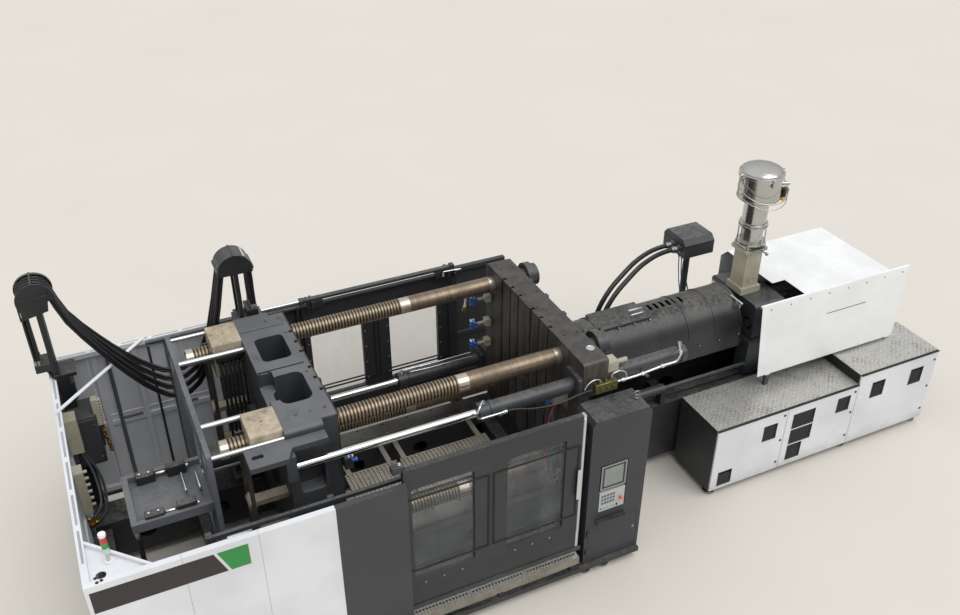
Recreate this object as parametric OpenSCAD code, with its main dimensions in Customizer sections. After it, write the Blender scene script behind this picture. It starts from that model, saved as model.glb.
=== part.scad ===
/* [Machine] */
// Overall length, from the fixed hose saddle to the end of the service cabinets
machine_l = 10620; // [10500:10:11200]
// Overall width, across the operator step and the rear step
machine_w = 3660; // [3600:10:3900]
// Height of the screw axis above the floor
centre_h = 1690; // [1660:5:1720]
// Height of the clamp guard's panels
guard_h = 2200; // [2150:10:2260]
// Length from the end wall to the fixed platen's mould face
clamp_l = 5040; // [4950:10:5200]

/* [Platens] */
// Travel of the moving platen
platen_stroke = 1850; // [1813:37:1850]
// Smallest mould height
mould_min = 680; // [600:10:720]
// Width of both platens across the mould face
platen_w = 2020; // [1980:10:2080]
// Height of both platens
platen_h = 1880; // [1840:10:1900]
// Thickness of the fixed platen's plate
fixed_t = 300; // [280:5:330]
// Thickness of the moving platen, mould face to rear face
moving_t = 550; // [540:5:600]
// Width of a T-slot's mouth
tslot_w = 28; // [22:1:36]
// Radius of the bore for the mould's locating ring
locating_r = 125; // [100:5:150]

/* [Tie bars] */
// Distance between tie bar axes, across
tie_span_y = 1640; // [1600:10:1660]
// Distance between tie bar axes, up
tie_span_z = 1480; // [1440:10:1500]
// Diameter of a tie bar
tie_d = 190; // [170:5:200]
// Pitch of the locking grooves
groove_pitch = 37; // [37:1:37]
// Depth of the locking grooves
groove_d = 8; // [5:1:10]
// Number of locking grooves
groove_n = 64; // [62:1:66]

/* [Clamp drives] */
// Outside diameter of a traverse cylinder
traverse_d = 170; // [150:5:180]
// Diameter of a traverse rod
traverse_rod_d = 85; // [70:5:90]
// Stroke of the ejector
ejector_stroke = 300; // [200:10:300]
// Diameter of an ejector rod
ejector_rod_d = 45; // [35:1:48]
// Opening stroke of a half nut
nut_stroke = 46; // [44:1:48]

/* [Injection unit] */
// Distance from the mould face to the feed throat's axis
throat_dist = 3170; // [3120:10:3220]
// Diameter of the screw
screw_d = 110; // [100:5:120]
// Outside diameter of the barrel
barrel_d = 230; // [210:5:250]
// Stroke of the screw when it injects
inject_stroke = 450; // [400:10:480]
// Stroke of the whole injection unit
carriage_stroke = 450; // [300:10:450]
// Diameter of the feed throat's hole
throat_d = 130; // [110:5:150]
// Outside diameter of the loader's upper vessel
vessel_d = 510; // [460:10:540]

/* [Guards] */
// Width of the operator door
door_w = 2000; // [1960:10:2020]
// Travel of the doors
door_stroke = 1850; // [1600:10:1850]
// Thickness of a door's frame
door_t = 60; // [50:5:70]
// Thickness of a sheet panel
sheet_t = 4; // [3:0.5:6]
// Square section of the guard's tubes
tube_w = 60; // [50:5:65]
// Depth of the operator step
step_d = 206; // [180:2:210]

/* [Hoses] */
// Diameter of a clamp hose
hose_d = 32; // [28:1:33]
// Distance between clamp hoses, side by side
hose_pitch = 58; // [54:1:62]
// Radius of the hose saddles
saddle_r = 190; // [190:5:210]

/* [Hidden] */
$fn = 48;

// Seat clearance between pieces that rest on each other
seat = 0.3;
// Clearance of a part that slides
slip = 2;

// Places along the machine
x_left = -machine_l / 2;
x_right = machine_l / 2;
saddle_over = 110;
wall_x = x_left + saddle_over;
mould_x = wall_x + clamp_l;
move_x = mould_x - mould_min - platen_stroke;
move_back = move_x - moving_t;
fixed_back = mould_x + fixed_t;
throat_x = mould_x + throat_dist;

// Places across the machine
step_over = 30;
guard_y = machine_w / 2 - step_over;
door_gap = 12;
door_y = guard_y - sheet_t - tube_w - door_gap;
tie_y = tie_span_y / 2;
tie_z = tie_span_z / 2;

// The clamp bed
foot_h = 110;
beam_y = [640, 1000];
beam_mid = (beam_y[0] + beam_y[1]) / 2;
housing_half = [200, 210];
rail_top = min(centre_h - platen_h / 2, centre_h - tie_z - housing_half[1]) - 40;
beam_top = rail_top - 60;
beam_web = 20;
bed_x = [wall_x + sheet_t + tube_w + 1, fixed_back + 320];
cross_w = 160;
cross_x = [bed_x[0], bed_x[0] + 1080, bed_x[0] + 2160, mould_x - 240, bed_x[1] - cross_w];
sill = [100, 160];

// The injection bed and its cabinets
cab_x = mould_x + 1950;
cab_mid = cab_x + (x_right - cab_x) * 219 / 352;
cab_y = 1320;
deck_in = 600;
cab_top = 1040;
cab_top_high = 1180;
deck_t = 6;
plinth_h = 80;
inj_beam_y = [240, 520];
inj_top = 960;

// Platen details
platen_r = 60;
plate_t = 170;
tie_bore_d = tie_d + 2 * slip;
tslot_y = [155, 350, 560];
tslot_neck = 26;
tslot_head = [48, 22];
nozzle_bore_r = 260;
ear_out = 330;
ear_z = [2170, 2620];
traverse_z = 610;
pocket = 360;
body_over = 70;
traverse_y = platen_w / 2 + body_over + traverse_d / 2 + 25;
ear_plate_z = [centre_h + platen_h / 2 - 140, centre_h + platen_h / 2 - 80];

// Grooves of the tie bars, and half nuts that mesh with them
groove_w = 18;
tooth_w = 16;
tooth_gap = 1.5;
housing_l = 315;
housing_x = [move_back - housing_l, move_back - seat];
housing_wall = 22;
end_plate = 50;
tie_end_x = housing_x[0] - 270;
groove_x0 = tie_end_x + 90;
nut_x = [housing_x[0] + end_plate + slip, housing_x[1] - end_plate - slip];
nut_od = 2 * (housing_half[0] - housing_wall - nut_stroke - slip);
nut_id = tie_d - 2 * groove_d + 2 * tooth_gap;
link_x = [housing_x[0] - 75, housing_x[0] - 35];
link_y = 116;
link_w = 24;
nut_mid = (nut_x[0] + nut_x[1]) / 2;

// Doors and windows
door_x1 = mould_x - 165;
door_x0 = door_x1 - door_w;
door_z = [440, 2320];
window_w = 670;
window_z = [845, 2065];
window_r = 30;
window_x = [door_x0 + 75, door_x1 - 222 - window_w];
rear_door_z = [440, 2180];
rear_window_z = [780, 1980];
skirt_y = door_y - door_t - 50;
step_z = [300, 400];
dark_x = door_x0 - 685;
rear_dark_x = door_x0 - 1075;
panel_lap = 10;

// Control cabinet
panel_x = [mould_x - 100, mould_x + 620];
panel_y = [-guard_y + 50, -guard_y + 400];
panel_z = [sill[1] + seat, 2200];
screen_x = [panel_x[0] + 150, panel_x[0] + 470];
screen_z = [1215, 1555];
keypad_z = [905, 1180];
bezel = 12;
button_d = 22;
estop_d = 40;
button_travel = 5;
estop_travel = 8;

// Injection unit
carriage_x = [throat_x - 130, throat_x + 330];
rail_y = (inj_beam_y[0] + inj_beam_y[1]) / 2;
carriage_foot = inj_top + 40;
screw_l = 2560;
nozzle_x = fixed_back - 40;
barrel_x = [nozzle_x + 190, carriage_x[1] - 30];
guard_x = [fixed_back + 120, carriage_x[0] - 140];
guard_r = 400;
cross_head_x = [carriage_x[1] + 560, carriage_x[1] + 660];
hood_x = [throat_x + 240, throat_x + 1840];
hood_y = 770;
hood_z = [cab_top_high + 40, 2150];
side_y = -hood_y - 60;
throat_z = [centre_h + 310, centre_h + 940];
gate_z = throat_z[1];
gate_h = 60;
sight_z = [gate_z + gate_h, gate_z + gate_h + 250];
neck_z = [sight_z[1], sight_z[1] + 330];
vessel_z = [neck_z[1], neck_z[1] + 330];
lid_h = 110;

// Hose routes
saddle_fixed = [x_left + saddle_r, guard_y - 300, 3200];
saddle_moving = [move_back + 120, 1210, 3200];
conduit_d = 64;
conduit_gap = 130;
conduit_start = [throat_x - 380 - seat, 960, 2170];
hose_w = 4;
manifold_h = 120;
hose_gap = hose_d + 6;
hose_side = (hose_w - 1) / 2 * hose_pitch + hose_d / 2 + 12;
hose_sag = [0, 90, 30, 140];

// Box between two corners, given as a pair for each axis
module block(x, y, z) translate([x[0], y[0], z[0]]) cube([x[1] - x[0], y[1] - y[0], z[1] - z[0]]);

// Round bars along each axis
module bar_x(d, x, y, z) translate([x[0], y, z]) rotate([0, 90, 0]) cylinder(h = x[1] - x[0], d = d);
module bar_y(d, x, y, z) translate([x, y[0], z]) rotate([-90, 0, 0]) cylinder(h = y[1] - y[0], d = d);
module bar_z(d, x, y, z) translate([x, y, z[0]]) cylinder(h = z[1] - z[0], d = d);

// Plates extruded along each axis from an outline
module plate_x(x) translate([x[0], 0, 0]) rotate([90, 0, 90]) linear_extrude(x[1] - x[0]) children();
module plate_y(y) translate([0, y[1], 0]) rotate([90, 0, 0]) linear_extrude(y[1] - y[0]) children();
module plate_z(z) translate([0, 0, z[0]]) linear_extrude(z[1] - z[0]) children();

// Rectangle with round corners, about its centre
module round_rect(w, h, r) {
  square([w - 2 * r, h], center = true);
  square([w, h - 2 * r], center = true);
  for (i = [-1, 1], j = [-1, 1])
    translate([i * (w / 2 - r), j * (h / 2 - r)]) circle(r);
}

// Rectangle with round corners, between two corners
module round_area(a, b, r) {
  translate([(a[0] + a[1]) / 2, (b[0] + b[1]) / 2]) round_rect(a[1] - a[0], b[1] - b[0], r);
}

// Copies on both sides of the machine's centre plane
module both_sides() {
  children();
  mirror([0, 1, 0]) children();
}

// Ring of bolt heads on a face that looks along X
module bolts_x(x, y, z, pcd, n, d, h) {
  for (i = [0 : n - 1])
    translate([x, y + pcd / 2 * cos(360 * i / n), z + pcd / 2 * sin(360 * i / n)])
      rotate([0, 90, 0]) cylinder(h = h, d = d, $fn = 6);
}

// Frame of a panel with windows cut through it
module window_frame(x, z, windows, wz, r) {
  difference() {
    translate([x[0], z[0]]) square([x[1] - x[0], z[1] - z[0]]);
    for (w = windows) round_area([w, w + window_w], wz, r);
  }
}

// Profile of a tie bar, revolved about its axis
function tie_profile(x0, x1, r) = concat(
  [[x0, 0], [x0, r - 12], [x0 + 12, r]],
  [for (i = [0 : groove_n - 1], k = [0 : 3])
    [groove_x0 + i * groove_pitch + (k < 2 ? 0 : groove_w), k == 0 || k == 3 ? r : r - groove_d]],
  [[x1, r], [x1, 0]]
);

module clamp_bed() color("#2b2d2f") {
  both_sides() {
    difference() {
      block(bed_x, beam_y, [foot_h, beam_top]);
      block([bed_x[0] + beam_web, bed_x[1] - beam_web], [beam_y[0] + beam_web, beam_y[1] - beam_web],
            [foot_h + beam_web, beam_top - beam_web]);
      for (i = [0 : 5])
        bar_y(200, bed_x[0] + 520 + i * 840, [beam_y[0] - 1, beam_y[1] + 1], (foot_h + beam_top) / 2);
    }
    // outriggers and sills that carry the guards
    for (x = cross_x) block([x, x + cross_w], [beam_y[1], guard_y - sheet_t - tube_w], sill);
    block([wall_x + 6, bed_x[0] + 2], [beam_y[1] - 60, guard_y - sheet_t - tube_w], sill);
    block([bed_x[0], bed_x[1]], [guard_y - sheet_t - tube_w, guard_y - sheet_t - seat], sill);
    // skirt below the door
    block([door_x0 + 10, door_x1 + 30], [skirt_y - 10, skirt_y], [sill[1], 400]);
    for (x = [door_x0 + 30, (door_x0 + door_x1) / 2, door_x1 - 110])
      block([x, x + 60], [skirt_y, guard_y - sheet_t - tube_w + 40], [sill[1], step_z[0] - seat]);
  }
  for (x = cross_x) block([x, x + cross_w], [-beam_y[0], beam_y[0]], [foot_h + 60, beam_top - 80]);
}

module slide_rails() color("#8f8a7c") both_sides()
  difference() {
    block([move_back - 160, mould_x - 60], [beam_mid - 110, beam_mid + 110], [beam_top, rail_top]);
    for (i = [0 : 9]) bar_z(26, move_back - 60 + i * 330, beam_mid - 80, [rail_top - 20, rail_top + 1]);
    for (i = [0 : 9]) bar_z(26, move_back - 60 + i * 330, beam_mid + 80, [rail_top - 20, rail_top + 1]);
  }

// Outline of the injection bed's cabinets seen from the side
module cabinet_side() {
  difference() {
    polygon([[cab_x, plinth_h], [x_right, plinth_h], [x_right, cab_top_high], [cab_mid, cab_top_high],
             [cab_mid, cab_top], [cab_x, cab_top]]);
    for (i = [0 : 2])
      polygon([[door_edge(i) + 30, plinth_h + 50], [door_edge(i + 1) - 30, plinth_h + 50],
               [door_edge(i + 1) - 30, door_top(i) - 50], [door_edge(i) + 30, door_top(i) - 50]]);
  }
}
function door_edge(i) = [cab_x, (cab_x + cab_mid) / 2 - 35, cab_mid, x_right][i];
function door_top(i) = i == 2 ? cab_top_high : cab_top;

module injection_bed() color("#232527") {
  both_sides() {
    difference() {
      block([bed_x[1] + 40, x_right - 40], inj_beam_y, [foot_h, inj_top]);
      block([bed_x[1] + 60, x_right - 60], [inj_beam_y[0] + beam_web, inj_beam_y[1] - beam_web],
            [foot_h + beam_web, inj_top - beam_web]);
      for (i = [0 : 3])
        bar_y(260, bed_x[1] + 620 + i * 1080, [inj_beam_y[0] - 1, inj_beam_y[1] + 1], 560);
    }
    // guide rail of the carriage
    block([guard_x[0] + 200, x_right - 80], [rail_y - 40, rail_y + 40], [inj_top, inj_top + 40 - seat]);
    // open frame that the cabinet doors close
    plate_y([cab_y - 30, cab_y]) cabinet_side();
    block([cab_x, x_right], [deck_in, cab_y - 30], [plinth_h, plinth_h + 40]);
    for (i = [0 : 3])
      block([min(door_edge(i), x_right - 4), min(door_edge(i), x_right - 4) + 4],
            [deck_in, cab_y - 30], [plinth_h + 40, i < 2 ? cab_top : cab_top_high]);
    block([cab_x, cab_mid], [deck_in, deck_in + 30], [plinth_h + 40, cab_top]);
    block([cab_mid + 4, x_right - 4], [deck_in, deck_in + 30], [plinth_h + 40, cab_top_high]);
  }
  for (x = [bed_x[1] + 60, cab_x + 60, cab_mid, x_right - 260])
    block([x, x + 140], [-inj_beam_y[0], inj_beam_y[0]], [foot_h + 60, 700]);
  // bracket that holds the conduits' lower ends
  ce = conduit_start + conduit_route[len(conduit_route) - 1];
  block([ce[0] - 60, ce[0] + 60], [inj_beam_y[1], ce[1] + conduit_gap + 60], [ce[2] - 40, ce[2] - seat]);
  // cross ties between the beams and the cabinets
  both_sides() for (x = [cab_x + 60, cab_mid, x_right - 260])
    block([x, x + 140], [inj_beam_y[1], deck_in], [plinth_h + 40, 400]);
}

// Machine mount: pad, stud and nut
module foot(x, y, top) {
  bar_z(150, x, y, [0, 28]);
  bar_z(90, x, y, [28, 46]);
  bar_z(30, x, y, [46, top - seat]);
  translate([x, y, top - 30]) cylinder(h = 30 - seat, d = 56, $fn = 6);
}

module levelling_feet() color("#55585a") {
  for (x = [bed_x[0] + 80, bed_x[0] + 1500, bed_x[0] + 2900, bed_x[0] + 4200, bed_x[1] - 80])
    both_sides() foot(x, beam_mid, foot_h);
  for (x = [bed_x[1] + 260, cab_x + 700, cab_mid, x_right - 200])
    both_sides() foot(x, rail_y, foot_h);
  foot(panel_x[0] + 60, panel_y[0] + 60, panel_z[0]);
  foot(panel_x[0] + 300, panel_y[0] + 60, panel_z[0]);
  both_sides() for (x = [cab_x + 80, cab_mid, x_right - 80]) foot(x, cab_y - 80, plinth_h);
}

// Wall of sheet with a box rim and ribs, flat on its outer side, drawn from x = 0
module wall_panel(l, h, ribs) {
  cube([l, sheet_t, h]);
  translate([0, sheet_t, h - tube_w]) cube([l, tube_w, tube_w]);
  translate([0, sheet_t, 0]) cube([l, tube_w, tube_w]);
  for (x = [0, l - tube_w]) translate([x, sheet_t, tube_w]) cube([tube_w, tube_w, h - 2 * tube_w]);
  for (x = ribs) translate([x, sheet_t, tube_w]) cube([tube_w, 30, h - 2 * tube_w]);
  translate([tube_w, sheet_t, h * 0.46]) cube([l - 2 * tube_w, 24, tube_w]);
}

wall_z = sill[1] + seat;
wall_h = guard_h - wall_z;

module end_wall() color("#e6e8ea") {
  end_l = 2 * (guard_y - sheet_t - tube_w) - 2;
  translate([wall_x, end_l / 2, wall_z]) rotate([0, 0, -90]) wall_panel(end_l, wall_h, [720, 1440, 2160, 2880]);
  // gusset with two brace bars at the operator's corner
  gx = wall_x + sheet_t + tube_w;
  gy = -guard_y + sheet_t + tube_w + 2;
  difference() {
    plate_z([guard_h - tube_w, guard_h - tube_w + 8])
      polygon([[gx, gy], [gx + 520, gy], [gx, gy + 520]]);
    bar_z(90, gx + 90, gy + 90, [guard_h - tube_w - 1, guard_h - tube_w + 9]);
  }
  plate_z([guard_h - 52, guard_h - 10])
    polygon([[gx, gy + 480], [gx, gy + 520], [gx + 520, gy], [gx + 480, gy]]);
}

module rear_wall() color("#e6e8ea") {
  l = rear_dark_x - wall_x - 2;
  mirror([0, 1, 0]) translate([wall_x + 1, -guard_y, wall_z]) wall_panel(l, wall_h, [440, 880, 1320]);
  // flat brace across the rear corner
  plate_z([guard_h + seat, guard_h + 12])
    polygon([[wall_x + 10, guard_y - 1080], [wall_x + 10, guard_y - 1020], [wall_x + 1020, guard_y - 10],
             [wall_x + 1080, guard_y - 10]]);
}

module white_panels() color("#e9eaec") {
  seam = [0, 810, 1480, dark_x - wall_x];
  for (i = [0 : 2])
    translate([wall_x + seam[i] + 1, -guard_y, wall_z]) wall_panel(seam[i + 1] - seam[i] - 2, wall_h, []);
  // fixed panels on the far side of the service cabinets
  for (i = [0 : 2])
    block([door_edge(i) + 6, door_edge(i + 1) - 6], [cab_y + seat, cab_y + 18], [plinth_h + 10, door_top(i) - 10]);
}

module dark_panels() color("#3b3d40") {
  l = door_x0 + panel_lap - dark_x;
  translate([dark_x + 1, -guard_y, wall_z]) wall_panel(l, wall_h, []);
  rl = door_x0 + panel_lap - rear_dark_x;
  mirror([0, 1, 0]) translate([rear_dark_x + 1, -guard_y, wall_z]) wall_panel(rl, wall_h, [500]);
  // cover of the fixed platen's far side
  mirror([0, 1, 0]) translate([door_x1 + 30, -guard_y, wall_z])
    wall_panel(bed_x[1] - door_x1 - 30, wall_h - 20, []);
}

module operator_door() color("#2a2c2e") {
  plate_y([-door_y, -door_y + door_t])
    window_frame([door_x0, door_x1], door_z, window_x, window_z, window_r);
  // carriages that hang on the inner rail
  for (x = [door_x0 + 60, door_x1 - 260])
    block([x, x + 200], [-door_y + door_t, -door_y + door_t + 8], [2180, 2300]);
  for (x = [door_x0 + 60, door_x1 - 260])
    block([x, x + 200], [-door_y + door_t + 8, -door_y + door_t + 80], [2224, 2232]);
  // rollers on that rail
  for (x = [door_x0 + 100, door_x0 + 220, door_x1 - 220, door_x1 - 100])
    bar_y(50, x, [-door_y + door_t + 24, -door_y + door_t + 60], 2199);
  // edge strip and pull handle
  block([door_x1 - 34, door_x1 - 10], [-door_y - 8, -door_y], [700, 2280]);
  block([door_x1 - 90, door_x1 - 50], [-door_y - 45, -door_y - 33], [1230, 1640]);
  for (z = [1250, 1600]) block([door_x1 - 80, door_x1 - 60], [-door_y - 33, -door_y], [z, z + 20]);
}

module operator_window() color([0.7, 0.75, 0.78, 0.35])
  for (x = window_x)
    plate_y([-door_y + door_t / 2 - 4, -door_y + door_t / 2 + 4])
      round_area([x + seat, x + window_w - seat], [window_z[0] + seat, window_z[1] - seat], window_r - seat);

module rear_door() color("#2a2c2e") {
  plate_y([door_y - door_t, door_y])
    window_frame([door_x0, door_x1], rear_door_z, window_x, rear_window_z, window_r);
  for (x = [door_x0 + 60, door_x1 - 260])
    block([x, x + 200], [door_y - door_t - 8, door_y - door_t], [2060, 2230]);
  for (x = [door_x0 + 60, door_x1 - 260])
    difference() {
      block([x, x + 200], [door_y - door_t - 76, door_y - door_t - 8], [2180, 2270]);
      bar_x(52, [x - 1, x + 201], door_y - door_t - 42, 2225);
    }
}

module rear_window() color([0.7, 0.75, 0.78, 0.35])
  for (x = window_x)
    plate_y([door_y - door_t / 2 - 4, door_y - door_t / 2 + 4])
      round_area([x + seat, x + window_w - seat], [rear_window_z[0] + seat, rear_window_z[1] - seat],
                 window_r - seat);

module door_rails() color("#303234") {
  rail_in = door_y - door_t;
  // flat rail inside the operator door
  block([door_x0 - door_stroke + 20, door_x1 + 20], [-rail_in + 24, -rail_in + 60], [2134, 2174]);
  for (x = [door_x0 - door_stroke + 20, door_x0 - 700, door_x1 + 20 - 60])
    block([x, x + 60], [-rail_in + 64, -rail_in + 104], [sill[1] + seat, 2174]);
  for (x = [door_x0 - door_stroke + 20, door_x0 - 700, door_x1 + 20 - 60])
    block([x, x + 60], [-rail_in + 24, -rail_in + 104], [2094, 2134]);
  // round rail inside the far door
  bar_x(50, [door_x0 - door_stroke + 20, door_x1 + 20], rail_in - 42, 2225);
  for (x = [door_x0 - door_stroke + 22, door_x1 - 20]) {
    block([x, x + 30], [rail_in - 110, rail_in - 84], [sill[1] + seat, 2225]);
    block([x, x + 30], [rail_in - 110, rail_in - 42], [2160, 2205]);
  }
  // floor guides of both doors
  both_sides() for (s = [0, door_t + 16])
    block([door_x0 + 10, door_x1 + 30], [door_y - door_t - 14 + s, door_y - door_t - 6 + s], [400 + seat, 460]);
  both_sides() block([door_x0 + 10, door_x1 + 30], [skirt_y - 10, door_y + 10], [400 + seat, 420]);
}

module step_tread() color("#b9bcbe") both_sides() {
  y = [machine_w / 2 - step_d, machine_w / 2];
  x = [door_x0 + panel_lap + 10, door_x1 - 30];
  l = (x[1] - x[0]) / 3;
  for (i = [0 : 2]) {
    x0 = x[0] + i * l;
    difference() {
      block([x0, x0 + l - 4], y, step_z);
      block([x0 - 1, x0 + l], [y[0] + 3, y[1] - 3], [step_z[0] - 1, step_z[1] - 4]);
      for (j = [0 : 15], k = [0 : 1])
        bar_z(26, x0 + 32 + j * 38, y[0] + 62 + k * 82, [step_z[1] - 10, step_z[1] + 1]);
    }
  }
}

module mould_tread() color("#b5b1a4") {
  y = [-560, 270];
  for (r = [[move_x + 330, move_x + 980], [move_x + 1030, mould_x - 360]])
    difference() {
      block(r, y, [beam_top - 40, beam_top]);
      for (j = [0 : floor((r[1] - r[0]) / 50) - 1])
        block([r[0] + 20 + j * 50, r[0] + 44 + j * 50], [y[0] + 20, y[1] - 20], [beam_top - 15, beam_top + 1]);
    }
  for (x = [move_x + 370, move_x + 880, move_x + 1070, mould_x - 460])
    block([x, x + 60], [-beam_y[0] + seat, beam_y[0] - seat], [beam_top - 80 + seat, beam_top - 40]);
}

module control_cabinet() color("#2c2e31") {
  difference() {
    plate_y(panel_y) polygon([
      [panel_x[0], panel_z[0]], [panel_x[1], panel_z[0]], [panel_x[1], panel_z[1] - 60],
      [panel_x[1] - 40, panel_z[1]], [panel_x[0] + 40, panel_z[1]], [panel_x[0], panel_z[1] - 60]]);
    // recess that the screen and the keypad sit in
    block([screen_x[0] - bezel, screen_x[1] + bezel], [panel_y[0] - 1, panel_y[0] + 30],
          [keypad_z[0] - bezel, screen_z[1] + bezel]);
    for (z = [1180, 1340])
      block([panel_x[0] - 1, panel_x[0] + 12], [panel_y[0] + 60, panel_y[1] - 60], [z - 900, z - 780]);
  }
  block([screen_x[0] - 30, screen_x[1] + 30], [panel_y[0] - 60, panel_y[0]], [keypad_z[0] - 150, keypad_z[0] - 120]);
}

module control_screen() color("#9a9c9e") {
  difference() {
    block(screen_x, [panel_y[0] - 4, panel_y[0] + 30 - seat], screen_z);
    block([screen_x[0] + 22, screen_x[1] - 22], [panel_y[0] - 5, panel_y[0] + 2],
          [screen_z[0] + 22, screen_z[1] - 22]);
  }
}

button_x = [for (i = [0 : 6]) screen_x[0] + 28 + i * 40];
button_z = keypad_z[0] + 40;
estop_at = [screen_x[1] - 55, keypad_z[0] + 130];

module control_keypad() color("#c9cbcc") {
  difference() {
    block(screen_x, [panel_y[0] - 4, panel_y[0] + 30 - seat], [keypad_z[0], keypad_z[1]]);
    for (i = [0, 5]) bar_y(button_d + 1, button_x[i], [panel_y[0] - 5, panel_y[0] + 24], button_z);
    bar_y(estop_d * 0.6 + 1, estop_at[0], [panel_y[0] - 5, panel_y[0] + 24], estop_at[1]);
  }
  // fixed lamps and key caps
  for (i = [1 : 4]) bar_y(16, button_x[i], [panel_y[0] - 10, panel_y[0] - 4], button_z);
  for (i = [0 : 4], k = [0 : 2])
    block([screen_x[0] + 24 + i * 36, screen_x[0] + 50 + i * 36], [panel_y[0] - 7, panel_y[0] - 4],
          [keypad_z[0] + 100 + k * 50, keypad_z[0] + 130 + k * 50]);
}

// Push buttons: a stem in the keypad's hole and a cap with room to travel
module emergency_stop() color("#d9541e") {
  bar_y(estop_d * 0.6, estop_at[0], [panel_y[0] - 5 - estop_travel, panel_y[0] + 12], estop_at[1]);
  bar_y(estop_d, estop_at[0], [panel_y[0] - 26 - estop_travel, panel_y[0] - 5 - estop_travel], estop_at[1]);
}

module start_button() color("#2f8f4a") {
  bar_y(button_d, button_x[0], [panel_y[0] - 6 - button_travel, panel_y[0] + 16], button_z);
}

module mode_switch() color("#202122") {
  bar_y(button_d, button_x[5], [panel_y[0] - 6, panel_y[0] + 16], button_z);
  block([button_x[5] - 4, button_x[5] + 4], [panel_y[0] - 18, panel_y[0] - 6], [button_z - 10, button_z + 10]);
}

// T-slots that run up a mould face at x, cut towards the side s
module tslots(x, s) {
  for (y = tslot_y, m = [-1, 1]) {
    block([min(x - s, x + s * tslot_neck), max(x - s, x + s * tslot_neck)],
          [m * y - tslot_w / 2, m * y + tslot_w / 2], [0, 2 * centre_h]);
    block([min(x + s * tslot_neck, x + s * (tslot_neck + tslot_head[1])),
           max(x + s * tslot_neck, x + s * (tslot_neck + tslot_head[1]))],
          [m * y - tslot_head[0] / 2, m * y + tslot_head[0] / 2], [0, 2 * centre_h]);
  }
}

module tie_holes(x, d) {
  for (y = [-tie_y, tie_y], z = [-tie_z, tie_z]) bar_x(d, x, y, centre_h + z);
}

robot_x = [mould_x + 80, mould_x + 240];
robot_pitch = 308;
robot_hole_d = 20;

module fixed_platen() color("#4a4540") {
  top = centre_h + platen_h / 2;
  difference() {
    union() {
      plate_x([mould_x, fixed_back]) translate([0, centre_h]) round_rect(platen_w, platen_h, platen_r);
      // ears that hold the traverse cylinders
      plate_x([mould_x, fixed_back])
        round_area([-platen_w / 2 - ear_out, -platen_w / 2 + 200],
                   [top - (ear_z[1] - ear_z[0]), top], 40);
      plate_x([mould_x, fixed_back])
        round_area([platen_w / 2 - 200, platen_w / 2 + ear_out],
                   [centre_h - traverse_z - 220, centre_h - traverse_z + 220], 40);
      // ribs behind the plate, and the feet on the bed
      for (y = [-620, -240, 180, 560]) block([fixed_back, fixed_back + 120], [y, y + 60],
        [centre_h - platen_h / 2 + 120, centre_h + platen_h / 2 - 120]);
      for (z = [-560, 500]) block([fixed_back, fixed_back + 120], [-620, 620], [centre_h + z, centre_h + z + 60]);
      both_sides() block([mould_x + 20, fixed_back + 120], beam_y, [beam_top + seat, centre_h - platen_h / 2 + 60]);
    }
    tslots(mould_x, 1);
    tie_holes([mould_x - 1, fixed_back + 121], tie_d + 1);
    bar_x(2 * locating_r, [mould_x - 1, mould_x + 40], 0, centre_h);
    translate([mould_x + 30, 0, centre_h]) rotate([0, 90, 0])
      cylinder(h = fixed_t + 100, r1 = 90, r2 = nozzle_bore_r);
    bar_x(traverse_d + 1, [mould_x - 1, fixed_back + 1], -traverse_y, centre_h + traverse_z);
    bar_x(traverse_d + 1, [mould_x - 1, fixed_back + 1], traverse_y, centre_h - traverse_z);
    for (x = robot_x, i = [-2.5 : 2.5]) bar_z(robot_hole_d, x, i * robot_pitch, [top - 50, top + 1]);
  }
}

// Opening in the platen's top, round at its corners
module top_pocket(x, y, r, depth) {
  top = centre_h + platen_h / 2;
  plate_z([top - depth, top + 1]) round_area(x, y, r);
}

ejector_at = [[0, 0], [250, 0], [-250, 0], [0, 250], [0, -250]];

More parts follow.
